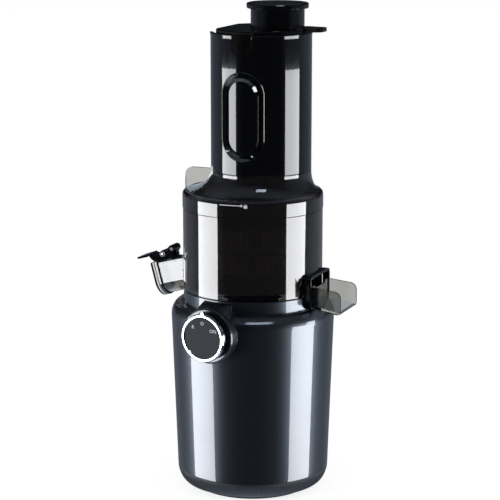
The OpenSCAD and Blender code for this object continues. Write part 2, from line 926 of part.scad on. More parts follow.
module cooling_fan() {
  color(nylon_c)
    difference() {
      union() {
        tube(9, 0, fan_z, fan_z + fan_h);
        tube(fan_r, 0, fan_z + fan_h - 1.5, fan_z + fan_h);
        ring_of(fan_blades)
          translate([6, 5, fan_z + 0.6])
            cube([fan_r - 7.5, 1.2, fan_h - 1.3]);
      }
      tube(motor_shaft_r, 0, fan_z - 1, fan_z + fan_h + 1);
    }
}

// ---- bowl ----

module bowl() {
  color(tint)
    union() {
      difference() {
        union() {
          rotate_extrude()
            polygon([[0, bowl_z], [bowl_r - 0.5, bowl_z], [bowl_r, bowl_z + 0.5],
              [bowl_r, bowl_top_z - 0.4], [bowl_r - 0.4, bowl_top_z], [neck_r, bowl_top_z],
              [neck_r, neck_top_z], [0, neck_top_z]]);
          spout_frame() {
            translate([0, 0, -6])
              linear_extrude(height = spout_len + 6)
                u_section(0);
            translate([0, 0, spout_len - 1.6])
              linear_extrude(height = 1.6)
                u_section(spout_lip);
          }
          outlet_lug();
          ring_of(3, 30)
            sector(neck_r + 1.2, neck_r - 1, neck_lug_z, neck_lug_z + 2, 0, lid_lug_deg);
        }
        bowl_hollow();
        upright_block(bowl_in_r - 3, bowl_r + 3, outlet_hw, outlet_z, outlet_z + outlet_h, 2);
        translate([-bowl_r - 3.4, -10, bowl_floor_z])
          cube([6.6, 20, 11.5]);
        difference() {
          spout_frame()
            translate([0, 0, -5])
              linear_extrude(height = spout_len + 10)
                u_section(-spout_wall);
          tube(bowl_r + 2.6, 0, 0, 400);
        }
        tube(bowl_r + 0.3, 0, bowl_z - 40, bowl_z);
        tube(bowl_bore_r, 0, bowl_z - 20, bowl_z + 40);
      }
      tube(foot_r, foot_r - neck_wall, bowl_z - foot_len, bowl_floor_z - 1);
      ring_of(3, 90)
        sector(foot_r + lug_w, foot_r - 1, bowl_lug_z, bowl_lug_z + lug_t, 0, lug_deg);
    }
}

// space inside the bowl, round the shaft hub and the pulp passage
module bowl_hollow() {
  difference() {
    union() {
      tube(bowl_in_r, 0, bowl_floor_z, bowl_top_z - neck_wall);
      tube(neck_r - neck_wall, 0, bowl_floor_z, neck_top_z + 1);
    }
    difference() {
      upright_block(40, bowl_in_r + 1, outlet_hw + 2, bowl_floor_z - 3, outlet_z + outlet_h + 2, 2);
      upright_block(39, bowl_in_r + 2, outlet_hw, bowl_floor_z, outlet_z + outlet_h, 2);
      tube(strainer_r + part_gap, 0, bowl_floor_z - 4, bowl_floor_z + 30);
    }
    tube(bowl_hub_r, 0, bowl_floor_z - 1, bowl_hub_z);
  }
}

// small notched lug beside the pulp outlet
module outlet_lug() {
  translate([bowl_r - 5.4, 0, bowl_z])
    rotate([90, 0, 90])
      linear_extrude(height = 1.8)
        polygon([[-31, 0.8], [-22, 0.8], [-22, 17.8], [-25.2, 17.8], [-27, 17], [-28.6, 13.8],
          [-30.2, 16.8], [-31, 17]]);
}

module bowl_seal() {
  lip_r = shaft_seat_r + run_gap;
  low_z = bowl_z - 1.4;
  color(rubber_c)
    rotate_extrude()
      polygon([[lip_r, bowl_z + 1.4], [lip_r + 2.2, bowl_z], [lip_r + 2.2, low_z],
        [bowl_bore_r + 2.5, low_z], [bowl_bore_r + 2.5, bowl_z], [bowl_bore_r, bowl_z],
        [bowl_bore_r, bowl_floor_z - 0.6], [lip_r + 2.2, bowl_floor_z - 0.6],
        [lip_r, bowl_floor_z - 1.6]]);
}

// frame round the pulp outlet, following the bowl at its back
module pulp_frame() {
  color(gloss)
    difference() {
      upright_block(bowl_r - 8, frame_x, frame_hw, frame_z, frame_top_z, 5);
      tube(bowl_r + part_gap, 0, frame_z - 1, frame_top_z + 1);
      upright_block(bowl_r - 12, frame_x + 1, chute_hw + 0.1, frame_z + 1.6,
        frame_top_z - frame_rim, 0.5);
    }
}

// open trough that carries the pulp out
module pulp_chute() {
  color(tint)
    difference() {
      chute_slab(chute_hw)
        polygon(concat(
          [[chute_back_x, frame_z + 2.2], [chute_x - 3.4, chute_z], [chute_x - 0.8, chute_z + 0.4],
            [chute_x, chute_z + 2.4]],
          [for (i = [0 : steps]) let (a = 90 * i / steps)
            [chute_x - 6.5 + 6.5 * cos(a), chute_top_z - 8.6 + 6.5 * sin(a)]],
          [[chute_back_x, chute_top_z]]));
      chute_slab(chute_hw - chute_t)
        polygon([[chute_back_x + chute_t, frame_z + 2.2 + chute_t], [chute_x - 3, chute_z + chute_t],
          [chute_x + 5, chute_z + chute_t], [chute_x + 5, frame_top_z],
          [chute_back_x + chute_t, frame_top_z]]);
      translate([chute_back_x - 1, -outlet_hw + chute_t, outlet_z])
        cube([chute_t + 2, 2 * (outlet_hw - chute_t), outlet_h]);
    }
}

// a side outline in X and Z spread to both sides of the chute
module chute_slab(half) {
  translate([0, half, 0])
    rotate([90, 0, 0])
      linear_extrude(height = 2 * half)
        children();
}

// ---- juice cap ----

module spout_bracket() {
  color(gloss)
    difference() {
      spout_plate(2.9) {
        hull() {
          translate([pivot_w, pivot_v])
            circle(r = 3.4, $fn = 32);
          translate([pivot_w - 1.5, spout_top + 1.2])
            square([3, 1]);
        }
        translate([pivot_w - 4, spout_top])
          square([9, 1.8]);
      }
      spout_bar(pivot_w, pivot_v, hinge_r, 10);
    }
}

module hinge_pin() {
  color(steel)
    spout_bar(pivot_w, pivot_v, hinge_r, lever_hw + 0.2);
}

// side outline of the lever, as [out, up] points
module lever_outline() {
  hull() {
    translate([pivot_w, pivot_v])
      circle(r = 3.4, $fn = 32);
    translate([pivot_w + 2, spout_top + 4])
      square([7, 1.6]);
  }
  translate([pivot_w - 0.6, spout_top + spout_lip + 0.4])
    square([cap_w + cap_t - pivot_w + 0.6, 5.8 - spout_lip]);
  translate([pivot_w + 9.8, spout_top + 6.2])
    circle(r = 3.4, $fn = 32);
  polygon(concat([[cap_w, spout_top + 0.6], [cap_w + cap_t, spout_top + 0.6],
    [cap_w + cap_t + 3, spout_top + 3.8]], tab_outline(), [[cap_w - 0.2, spout_top + 6.2]]));
}

// end of the lever that the finger lifts
function tab_outline() = [[cap_w + cap_t + 4.4, spout_top + 6.6], [tab_w - 1, spout_top + 6.4],
  [tab_w, spout_top + 7.2], [tab_w - 0.4, spout_top + 8.2], [cap_w + cap_t + 3.4, spout_top + 9]];

module cap_lever() {
  color(gloss)
    difference() {
      union() {
        spout_plate(lever_hw)
          lever_outline();
        spout_plate(lever_hw + 3.1)
          polygon(concat([[cap_w + cap_t + 2.6, spout_top + 7.2]], tab_outline()));
      }
      spout_plate(3.2)
        translate([0, spout_top - 1])
          square([pivot_w + 6, 20]);
      spout_bar(pivot_w, pivot_v, hinge_r + run_gap, 20);
      spout_bar(pivot_w + 9.8, spout_top + 6.2, 1.3, 20);
    }
}

module juice_cap() {
  color(gloss)
    spout_frame() {
      translate([0, 0, cap_w])
        linear_extrude(height = cap_t)
          u_section(spout_lip);
      translate([spout_top - 1, 0.6 - lever_hw, cap_w])
        cube([3, 2 * lever_hw - 1.2, cap_t - 0.1]);
    }
}

module cap_gasket() {
  color(rubber_c)
    spout_frame()
      translate([0, 0, spout_len + part_gap])
        linear_extrude(height = cap_w - spout_len - part_gap)
          u_section(0.5);
}

// ---- strainer and auger ----

module strainer_frame() {
  color(gloss)
    difference() {
      union() {
        tube(strainer_r, strainer_in_r, strainer_z, low_band_z);
        tube(strainer_r, strainer_in_r, high_band_z, strainer_top_z);
        tube(strainer_r - 0.8, sieve_out_r, (low_band_z + high_band_z) / 2 - 2,
          (low_band_z + high_band_z) / 2 + 2);
        tube(neck_r - neck_wall - 0.4, strainer_in_r, bowl_top_z - neck_wall + 0.4, strainer_top_z);
        tube(strainer_in_r + 0.4, bowl_hub_r + 2.8, strainer_z, strainer_z + 1.8);
        ring_of(strainer_bars, 180 / strainer_bars)
          translate([sieve_out_r, -2.4, low_band_z - 1])
            cube([strainer_r - sieve_out_r - 0.3, 4.8, high_band_z - low_band_z + 2]);
      }
      tube(sieve_out_r, sieve_r, low_band_z - 2, high_band_z + 2);
      upright_block(40, 60, outlet_hw - 1.6, outlet_z + 2, outlet_z + outlet_h, 2);
    }
}

module strainer_sieve() {
  mid_z = (low_band_z + high_band_z) / 2;
  color(steel)
    difference() {
      tube(sieve_out_r, sieve_r, low_band_z - 1.9, high_band_z + 1.9);
      ring_of(sieve_slots, 180 / sieve_slots)
        for (z = [[low_band_z + 1.5, mid_z - 3.5], [mid_z + 3.5, high_band_z - 1.5]])
          translate([sieve_r - 1, -0.4, z[0]])
            cube([3, 0.8, z[1] - z[0]]);
    }
}

// radius of the auger core at a height
function core_r(z) = let (t = (z - core_z0) / (core_z1 - core_z0))
  core_low_r + (core_top_r - core_low_r) * (0.25 * t + 0.75 * t * t * (3 - 2 * t));

module auger() {
  flight_z = auger_z + 4.8;
  shoulder = core_z1 - 12;
  color(auger_c)
    difference() {
      union() {
        rotate_extrude()
          polygon(concat([[0, auger_z], [flight_r - 1.4, auger_z], [flight_r - 0.4, auger_z + 1],
            [flight_r - 0.4, auger_z + 2.4], [flight_r - 1.6, auger_z + 3.8],
            [core_low_r + 1.5, auger_z + 5.2]],
            [for (i = [0 : 12]) let (z = core_z0 + (core_z1 - core_z0) * i / 12) [core_r(z), z]],
            [[core_top_r - 1, core_z1 + 4], [9, auger_top_z - 3], [6, auger_top_z - 0.6],
              [3, auger_top_z], [0, auger_top_z]]));
        intersection() {
          flights(flight_z, core_z1 + 6);
          rotate_extrude()
            polygon([[0, flight_z - 1], [flight_r, flight_z - 1], [flight_r, shoulder],
              [flight_r - 3, shoulder + 8], [flight_r - 14, core_z1 + 5],
              [core_top_r - 2, core_z1 + 6], [0, core_z1 + 6]]);
        }
      }
      tube(bowl_hub_r + 2.6, 0, auger_z - 2, shaft_top_z + 4);
      tube(socket_r, 0, shaft_top_z + 3, hex_top_z + 2);
    }
}

// one long helical flight and a short second one that breaks up the food
module flights(low, top) {
  h = top - low;
  turns = flight_turns * h / 60;
  translate([0, 0, low])
    linear_extrude(height = h, twist = -360 * turns, slices = 90, $fn = 12)
      blade(flight_t);
  translate([0, 0, low + h / 2])
    linear_extrude(height = h / 2, twist = -180 * turns, slices = 45, $fn = 12)
      rotate([0, 0, 180 + 180 * turns])
        blade(flight_t - 0.5);
}

// half section of a flight, thicker towards its outer edge
module blade(t) {
  reach = flight_r + 1;
  translate([6, -t])
    polygon([[0, 0], [reach / 2 - 6, 0.1 * t], [reach - 6, 0.35 * t], [reach - 6, 1.65 * t],
      [reach / 2 - 6, 1.9 * t], [0, 2 * t]]);
}

module auger_socket() {
  color(steel)
    difference() {
      tube(socket_r, 0, shaft_top_z + 4, hex_top_z + 2);
      translate([0, 0, shaft_top_z])
        cylinder(r = hex_af / sqrt(3), h = hex_h, $fn = 6);
    }
}

// ---- hopper ----

// sections of the trumpet between the lid rim and the tube, drawn in by a wall
function trumpet(cut) = [for (i = [0 : 10])
  let (a = 12 + 78 * i / 10, s = (sin(a) - sin(12)) / (1 - sin(12)), c = (cos(12) - cos(a)) / cos(12))
  [tube_x * s, lid_r - 3.2 - cut - (lid_r - 3.2 - tube_r) * s, lid_rim_z + trumpet_h * c]];

module lid() {
  cut = lid_wall + 0.2;
  color(tint)
    difference() {
      union() {
        rotate_extrude()
          polygon([[0, lid_z], [lid_r, lid_z], [lid_r, lid_rim_z - 3.4], [lid_r - 0.5, lid_rim_z - 1.6],
            [lid_r - 1.6, lid_rim_z - 0.4], [lid_r - 2.8, lid_rim_z], [0, lid_rim_z]]);
        loft(concat([[0, lid_r - 3.2, lid_rim_z - 3]], trumpet(0)), 72);
        handle_fin();
      }
      loft(concat([[0, lid_r - 3.2 - cut, lid_rim_z - 4.4]],
        [for (p = trumpet(cut)) [p[0], p[1], p[2] - 1.6]],
        [[tube_x, tube_r - cut, tube_z + 2]]), 72);
      difference() {
        tube(lid_r - lid_wall, 0, lid_z - 1, lid_rim_z - 3.7);
        ring_of(3, 30)
          sector(lid_r - 1, neck_r + 0.4, lid_lug_z, lid_lug_z + 2.6, 0, lid_lug_deg);
      }
    }
}

// flat fin that the lid is turned by
module handle_fin() {
  in_x = tube_x - tube_r + 1;
  out_x = lid_r + fin_reach;
  top = lid_rim_z + fin_h;
  difference() {
    translate([0, fin_t / 2, 0])
      rotate([90, 0, 0])
        linear_extrude(height = fin_t)
          polygon(concat([[2 - lid_r, lid_z + 6.4], [-lid_r, lid_z + 5.1], [-out_x, lid_z + 8.2]],
            [for (i = [0 : steps]) let (a = 90 * i / steps)
              [7 - out_x - 7 * cos(a), top - 7 + 7 * sin(a)]],
            [[in_x, top], [in_x, lid_rim_z + 1.5], [4 - lid_r, lid_rim_z - 2.5]]));
    translate([tube_x, 0, 0])
      tube(tube_r - 1.2, 0, lid_z, tube_z + 40);
  }
}

module lid_seal() {
  top = lid_rim_z - 3.8;
  color(rubber_c)
    rotate_extrude()
      polygon([[neck_r - 3.4, lid_seal_z], [neck_r, lid_seal_z], [neck_r + 1.4, top - 0.5],
        [neck_r + 1.4, top], [neck_r - 3.4, top]]);
}

module feed_tube() {
  color(gloss)
    difference() {
      translate([tube_x, 0, 0])
        rotate_extrude()
          polygon([[tube_in_r, tube_z - 10], [tube_in_r + 0.7, tube_z - 10], [tube_in_r + 0.7, tube_z],
            [tube_r - 0.7, tube_z], [tube_r, tube_z + 0.8], [tube_r, tube_top_z - 3],
            [tube_r + 0.5, tube_top_z - 0.5], [tube_r + 0.1, tube_top_z],
            [tube_in_r + 0.9, tube_top_z], [tube_in_r, tube_top_z - 0.9]]);
      ear_slab(tube_r + 10)
        ear_outline(slot_w / 2, 30);
      oval_groove();
      scoop();
    }
}

// outline of the U slots: round below, open above
module ear_outline(r, up) {
  circle(r = r);
  translate([-r, 0])
    square([2 * r, up]);
}

// children drawn about the ear centre, spread from front to back through the tube
module ear_slab(half) {
  translate([tube_x, 0, ear_z])
    rotate([90, 0, 0])
      translate([0, 0, -half])
        linear_extrude(height = 2 * half)
          children();
}

// long rounded ring pressed into the front of the tube
module oval_groove() {
  difference() {
    translate([tube_x, -20, tube_z + oval_rise])
      rotate([90, 0, 0])
        linear_extrude(height = tube_r)
          difference() {
            oval(oval_w);
            oval(oval_w - 2 * oval_groove_w);
          }
    translate([tube_x, 0, 0])
      tube(tube_r - 1.2, 0, tube_z - 20, tube_top_z + 10);
  }
}

// upright oval of a given width about the long ring's centre line
module oval(w) {
  hull()
    for (z = [oval_w / 2, oval_h - oval_w / 2])
      translate([0, z])
        circle(r = w / 2, $fn = 72);
}

// shallow dip in the rim on the juice side
module scoop() {
  r = 28;
  translate([tube_x - tube_r - 4, 0, tube_top_z - scoop_d + r])
    rotate([0, 90, 0])
      cylinder(r = r, h = 24);
}

// ---- gate and pusher ----

module gate() {
  skirt_z = gate_top_z - 10;
  cut_d = plate_r - 8.6;
  front_x = tube_x - cut_d;
  front_hw = sqrt(plate_r * plate_r - cut_d * cut_d);
  color(gate_c)
    difference() {
      union() {
        difference() {
          translate([tube_x, 0, 0])
            rotate_extrude()
              polygon([[0, skirt_z], [plate_r, skirt_z], [plate_r, gate_top_z - 1.4],
                [plate_r - 0.4, gate_top_z - 0.4], [plate_r - 1.4, gate_top_z], [0, gate_top_z]]);
          translate([tube_x, 0, 0])
            tube(plate_r - 2, 0, skirt_z - 6, gate_top_z - gate_t);
          translate([front_x - 100, -60, skirt_z - 6])
            cube([100, 120, 40]);
        }
        intersection() {
          translate([pusher_x, 0, 0])
            tube(pusher_r + 2.5, 0, gate_top_z - 20, gate_top_z - 1);
          translate([tube_x, 0, 0])
            tube(plate_r, 0, gate_top_z - 30, gate_top_z + 10);
        }
        translate([front_x, -front_hw, skirt_z])
          cube([2, 2 * front_hw, 9]);
        gate_ears();
        gate_tab_plate();
      }
      translate([pusher_x, 0, 0])
        tube(pusher_r + part_gap, 0, gate_top_z - 30, gate_top_z + 30);
    }
}

// round-bottomed ears that hang in the U slots of the tube
module gate_ears() {
  w = slot_w / 2 - part_gap;
  intersection() {
    ear_slab(tube_r + 10)
      ear_outline(w, gate_top_z - ear_z - 1.4);
    translate([tube_x, 0, 0])
      tube(tube_r - 0.2, tube_in_r - 2.4, ear_z - 12, gate_top_z + 4);
  }
  for (s = [-1, 1])
    translate([tube_x, 0, ear_z])
      rotate([90 * s, 0, 0])
        translate([0, 0, tube_in_r])
          cylinder(r = 3.6, h = tube_wall + 0.7);
}

// finger tab that lifts the gate
module gate_tab_plate() {
  end_x = tube_x + tube_r + tab_out - 6;
  translate([0, 0, gate_top_z - 1.8])
    linear_extrude(height = 3.2)
      hull() {
        translate([tube_x + tube_r - 7.4, -12])
          square([4, 24]);
        for (s = [-4, 4])
          translate([end_x, s])
            circle(r = 6, $fn = 32);
      }
}

module pusher_body() {
  in_r = pusher_r - pusher_wall;
  color(gloss)
    translate([pusher_x, 0, 0])
      rotate_extrude()
        polygon([[0, pusher_z], [pusher_r - 2, pusher_z], [pusher_r, pusher_z + 2], [pusher_r, flange_z],
          [in_r, flange_z], [in_r, pusher_z + 3], [0, pusher_z + 3]]);
}

module pusher_cap() {
  plug_r = pusher_r - pusher_wall - 0.1;
  top = flange_z + flange_t;
  color(gloss)
    translate([pusher_x, 0, 0])
      rotate_extrude()
        polygon([[0, flange_z - 6], [plug_r, flange_z - 6], [plug_r, flange_z],
          [flange_r - 0.6, flange_z], [flange_r, flange_z + 0.6], [flange_r, top - 1.2],
          [flange_r - 0.4, top - 0.4], [flange_r - 1.4, top], [flange_r - 3.4, top],
          [flange_r - 4.2, top - 0.5], [0, top - 0.5]]);
}

base_housing();
bottom_cover();
foot_ring();
cable_gland();
dial_face();
switch_body();
gearbox_case();
ring_gear();
motor_can();
end_cap();
stator();
shaft_seal();
cover_screws();
deck_screws();
knob_ring();
knob_body();
switch_rotor();
motor_shaft();
sun_pinion();
armature();
cooling_fan();
planet_carrier();
drive_shaft();
auger();
auger_socket();
planet_a();
planet_b();
planet_c();
bowl();
bowl_seal();
strainer_frame();
strainer_sieve();
pulp_frame();
pulp_chute();
spout_bracket();
hinge_pin();
cap_lever();
juice_cap();
cap_gasket();
lid();
lid_seal();
feed_tube();
gate();
pusher_body();
pusher_cap();
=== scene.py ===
# %% [markdown]
# # An upright cold press juicer
#
# The juicer is a round motor base with a control knob, a smoke-tinted juicing bowl with a spout on
# one side and a pulp chute on the other, a trumpet-shaped lid, a tall feed tube and a pusher that
# goes through the tube's gate.
#
# Its solids come from the CAD frame in metres: the origin is where the drive axis meets the floor, Z
# is up, and -Y is the front. This notebook gives every solid its finish, adds the fine pieces that
# are too small for the solids, and lights the whole like a studio shot.

# %% Load the frame
import bpy, bmesh, json, math
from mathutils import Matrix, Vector


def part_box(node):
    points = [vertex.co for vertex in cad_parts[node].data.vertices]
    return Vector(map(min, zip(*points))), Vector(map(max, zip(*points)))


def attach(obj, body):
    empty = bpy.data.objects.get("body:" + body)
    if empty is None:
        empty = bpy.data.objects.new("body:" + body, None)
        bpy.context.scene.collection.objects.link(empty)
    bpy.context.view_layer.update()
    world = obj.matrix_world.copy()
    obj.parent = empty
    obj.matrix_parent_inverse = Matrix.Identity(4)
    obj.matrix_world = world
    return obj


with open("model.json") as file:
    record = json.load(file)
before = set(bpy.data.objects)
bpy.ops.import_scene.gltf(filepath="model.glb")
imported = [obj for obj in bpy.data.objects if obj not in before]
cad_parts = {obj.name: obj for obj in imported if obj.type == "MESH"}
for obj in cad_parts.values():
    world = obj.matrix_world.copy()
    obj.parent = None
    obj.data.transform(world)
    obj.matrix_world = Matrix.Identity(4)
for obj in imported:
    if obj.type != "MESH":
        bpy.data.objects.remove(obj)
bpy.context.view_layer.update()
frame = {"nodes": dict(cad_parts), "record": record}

nodes = frame["nodes"]
record = frame["record"]
slot_of = {s["node"]: s["material_slot"] for s in record["subparts"]}

# %% [markdown]
# ## Where things are
#
# The radii and heights below are read off the solids' boxes, so what is set out from them follows a new
# size. Other places, such as the oval's, the spout's and the height of the lid's mark, are typed where
# they are used and have to be changed by hand. The base front, with its knob, is turned a little from
# the bowl's front.

# %% Measure the solids
BASE_TURN = math.radians(-7.3)
RIM_PROUD = 0.0005


def low(name):
    """The corner of a solid's box where x, y and z are smallest."""
    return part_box(name)[0]


def top(name):
    """The corner of a solid's box where x, y and z are largest."""
    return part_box(name)[1]


tube_r = (top("feed_tube").y - low("feed_tube").y) / 2
tube_x = top("feed_tube").x - RIM_PROUD - tube_r
bowl_r = top("bowl").y
lid_r = top("lid").y
lid_low = low("lid").z
knob_z = (low("knob_body").z + top("knob_body").z) / 2
print("tube axis x", round(tube_x, 4), "r", round(tube_r, 4), "knob z", round(knob_z, 4))

# %% [markdown]
# ## Camera
#
# A long lens stands 1.6 m away and somewhat higher than the juicer, and looks down by 12 degrees, so
# that the uprights stay almost parallel while the rims still open into ellipses.

# %% Camera
CAMERA_TURN = math.radians(23.23)
CAMERA_AWAY = 1.620
CAMERA_HEIGHT = 0.5671
CAMERA_TILT = math.radians(12.25)
CAMERA_LENS = 133.68
CAMERA_SHIFT = -0.0057
CAMERA_SENSOR = 36
CAMERA_NEAR, CAMERA_FAR = 0.05, 40

camera_data = bpy.data.cameras.new("camera")
camera_data.lens = CAMERA_LENS
camera_data.sensor_width = CAMERA_SENSOR
camera_data.shift_x = CAMERA_SHIFT
camera_data.clip_start, camera_data.clip_end = CAMERA_NEAR, CAMERA_FAR
camera = bpy.data.objects.new("camera", camera_data)
camera.location = (math.sin(CAMERA_TURN) * CAMERA_AWAY, -math.cos(CAMERA_TURN) * CAMERA_AWAY, CAMERA_HEIGHT)
camera.rotation_euler = (math.pi / 2 - CAMERA_TILT, 0, CAMERA_TURN)
bpy.context.scene.collection.objects.link(camera)
bpy.context.scene.camera = camera
print("camera at", [round(v, 3) for v in camera.location])

# %% [markdown]
# ## Studio
#
# Gloss black plastic shows little but what it reflects, so the light is built from what should be
# seen in it: two tall softboxes, one on each side, give each cylinder two long pale stripes and leave
# its middle dark. Each softbox is a row of flat panels, set along a circle round the juicer.

# %% Softboxes
SOFTBOX_AWAY = 1.20
SOFTBOX_LOW, SOFTBOX_HIGH = -0.50, 0.246
SOFTBOXES = {"left": (-78.5, 40.0, 6.8), "right": (74.5, 39.0, 6.8)}
SOFTBOX_PANELS = 3
SOFTBOX_COLOUR = (0.975, 0.985, 1.0)
WATTS_PER_AREA = 4


def panel(name, side_deg, spread_deg, radiance):
    """A tall lamp, side_deg to the right of the camera's direction and spread_deg wide."""
    angle = CAMERA_TURN - math.pi / 2 + math.radians(side_deg)
    half = math.radians(spread_deg / 2)
    away = SOFTBOX_AWAY * math.cos(half)
    lamp = bpy.data.lights.new(name, "AREA")
    lamp.shape = "RECTANGLE"
    lamp.size = 2 * SOFTBOX_AWAY * math.sin(half)
    lamp.size_y = SOFTBOX_HIGH - SOFTBOX_LOW
    lamp.energy = radiance * WATTS_PER_AREA * lamp.size * lamp.size_y
    lamp.color = SOFTBOX_COLOUR
    place = bpy.data.objects.new(name, lamp)
    place.location = (math.cos(angle) * away, math.sin(angle) * away, (SOFTBOX_LOW + SOFTBOX_HIGH) / 2)
    place.rotation_euler = Vector((math.cos(angle), math.sin(angle), 0)).to_track_quat("Z", "Y").to_euler()
    place.visible_camera = False
    place.visible_transmission = False
    bpy.context.scene.collection.objects.link(place)
    return place


for name, (side, spread, radiance) in SOFTBOXES.items():
    part = spread / SOFTBOX_PANELS
    for k in range(SOFTBOX_PANELS):
        lamp = panel(f"{name}_{k}", side + part * (k - (SOFTBOX_PANELS - 1) / 2), part, radiance)
    size = (round(lamp.data.size, 3), round(lamp.data.size_y, 3))
    print("softbox", name, SOFTBOX_PANELS, "panels of", size, "m")

# %% [markdown]
# The world and the materials are made of nodes. Four small helpers keep that readable: add makes a
# node, join links two sockets, maths is one Math node, and ramp turns one range of values into another.

# %% Node helpers
def add(tree, kind, **settings):
    """A new node with its settings, such as its operation, given by name."""
    node = tree.nodes.new(kind)
    for key, value in settings.items():
        if hasattr(node, key):
            setattr(node, key, value)
    return node


def join(tree, source, target):
    tree.links.new(source, target)


def maths(tree, operation, a, b=None, c=None, clamp=False):
    """A Math node; a, b and c are sockets or numbers."""
    node = add(tree, "ShaderNodeMath", operation=operation, use_clamp=clamp)
    for socket, value in zip(node.inputs, (a, b, c)):
        if value is None:
            continue
        if isinstance(value, (int, float)):
            socket.default_value = value
        else:
            join(tree, value, socket)
    return node.outputs[0]


def ramp(tree, value, lo, hi, to_lo, to_hi):
    """Turns lo..hi into to_lo..to_hi and holds the ends; the limits are sockets or numbers."""
    node = add(tree, "ShaderNodeMapRange", clamp=True)
    join(tree, value, node.inputs["Value"])
    for key, number in zip(("From Min", "From Max", "To Min", "To Max"), (lo, hi, to_lo, to_hi)):
        if isinstance(number, (int, float)):
            node.inputs[key].default_value = number
        else:
            join(tree, number, node.inputs[key])
    return node.outputs[0]


print("node helpers ready")

# %% [markdown]
# The world is white to the camera, also through clear plastic, and gives rough surfaces a low even
# fill. Only reflections see the room that it makes of the other values: dark ahead, lighter behind the
# juicer below the horizon, pale far below, dim above and to the sides, and with one small flat lamp
# high up in front. So the room can be shaped for the gloss while the fill stays as it is. Each part is
# a ramp on the ray's direction, given as from, to and the values there.

# %% World: the room that reflections see
WORLD_AHEAD, WORLD_BEHIND = 0.020, 0.17
BEHIND_FROM, BEHIND_TO = -0.2, 0.8
HORIZON_FROM, HORIZON_TO = 0.02, -0.06
WORLD_BELOW = (-0.62, -0.95, 0.0, 0.7)
WORLD_ABOVE = (0.45, 0.75, 0.0, 0.16)
WORLD_BESIDE = (0.70, 0.95, 0.0, 0.12)

world = bpy.data.worlds.new("studio")
world.use_nodes = True
bpy.context.scene.world = world
w = world.node_tree
w.nodes.clear()
ray = add(w, "ShaderNodeTexCoord").outputs["Generated"]
ray_parts = add(w, "ShaderNodeSeparateXYZ")
join(w, ray, ray_parts.inputs[0])
ray_up = ray_parts.outputs["Z"]


def towards(direction):
    """How far the world's ray points in a direction: 1 along it, -1 against it."""
    node = add(w, "ShaderNodeVectorMath", operation="DOT_PRODUCT")
    join(w, ray, node.inputs[0])
    node.inputs[1].default_value = direction
    return node.outputs["Value"]


behind = add(w, "ShaderNodeMapRange", clamp=True, interpolation_type="SMOOTHSTEP")
join(w, towards((-math.sin(CAMERA_TURN), math.cos(CAMERA_TURN), 0)), behind.inputs["Value"])
limits = (BEHIND_FROM, BEHIND_TO, 0.0, WORLD_BEHIND)
for key, value in zip(("From Min", "From Max", "To Min", "To Max"), limits):
    behind.inputs[key].default_value = value
going_down = ramp(w, ray_up, HORIZON_FROM, HORIZON_TO, 0.0, 1.0)
table = ramp(w, ray_up, *WORLD_BELOW)
ceiling = ramp(w, ray_up, *WORLD_ABOVE)
aside = towards((math.cos(CAMERA_TURN), math.sin(CAMERA_TURN), 0))
beside = ramp(w, maths(w, "ABSOLUTE", aside), *WORLD_BESIDE)
print("room of", len(w.nodes), "nodes")

# %% [markdown]
# The small lamp is a stripe at one height, cut off at both ends. Only reflections see it, so it can put
# a short highlight on gloss that faces up and forward and adds no light to rough surfaces.

# %% World: the small lamp
TOP_LIGHT_SIDE, TOP_LIGHT_HEIGHT, TOP_LIGHT_WIDE = 9.0, 47.0, 22.0
TOP_LIGHT_THICK, TOP_LIGHT_GLOW = 0.022, 6.0
TOP_LIGHT_END_SOFT, TOP_LIGHT_EDGE_SOFT = 0.03, 0.02

facing = CAMERA_TURN - math.pi / 2 + math.radians(TOP_LIGHT_SIDE)
end = math.cos(math.radians(TOP_LIGHT_HEIGHT)) * math.cos(math.radians(TOP_LIGHT_WIDE))
level = math.sin(math.radians(TOP_LIGHT_HEIGHT))
overhead = towards((math.cos(facing), math.sin(facing), 0))
between_ends = ramp(w, overhead, end, end + TOP_LIGHT_END_SOFT, 0.0, TOP_LIGHT_GLOW)
off_level = maths(w, "ABSOLUTE", maths(w, "SUBTRACT", ray_up, level))
at_level = ramp(w, off_level, TOP_LIGHT_THICK, TOP_LIGHT_THICK + TOP_LIGHT_EDGE_SOFT, 1.0, 0.0)
top_light = maths(w, "MULTIPLY", between_ends, at_level)
print("small lamp", TOP_LIGHT_HEIGHT, "degrees above the horizon")

# %% [markdown]
# Now each kind of ray gets its share: camera and transmission rays see plain white, glossy rays the
# room with a cool tint, and diffuse rays the even fill.

# %% World: what each kind of ray gets
WORLD_FILL = 0.25
WORLD_GLOSS_TINT = (0.72, 0.82, 1.0, 1)

path = add(w, "ShaderNodeLightPath")
seen = maths(w, "ADD", path.outputs["Is Camera Ray"], path.outputs["Is Transmission Ray"], clamp=True)
lit = maths(w, "ADD", maths(w, "ADD", maths(w, "MULTIPLY", behind.outputs[0], going_down), WORLD_AHEAD),
            maths(w, "ADD", maths(w, "ADD", table, ceiling), maths(w, "ADD", beside, top_light)))
glossy = maths(w, "MULTIPLY", path.outputs["Is Glossy Ray"], lit)
diffuse = maths(w, "MULTIPLY", path.outputs["Is Diffuse Ray"], WORLD_FILL)
strength = maths(w, "ADD", maths(w, "ADD", seen, glossy), diffuse)
back = add(w, "ShaderNodeBackground")
tint = add(w, "ShaderNodeMix", data_type="RGBA")
join(w, path.outputs["Is Glossy Ray"], tint.inputs["Factor"])
tint.inputs[6].default_value = (1, 1, 1, 1)
tint.inputs[7].default_value = WORLD_GLOSS_TINT
join(w, tint.outputs[2], back.inputs["Color"])
join(w, strength, back.inputs["Strength"])
out = add(w, "ShaderNodeOutputWorld")
join(w, back.outputs[0], out.inputs["Surface"])
print("world of", len(w.nodes), "nodes")

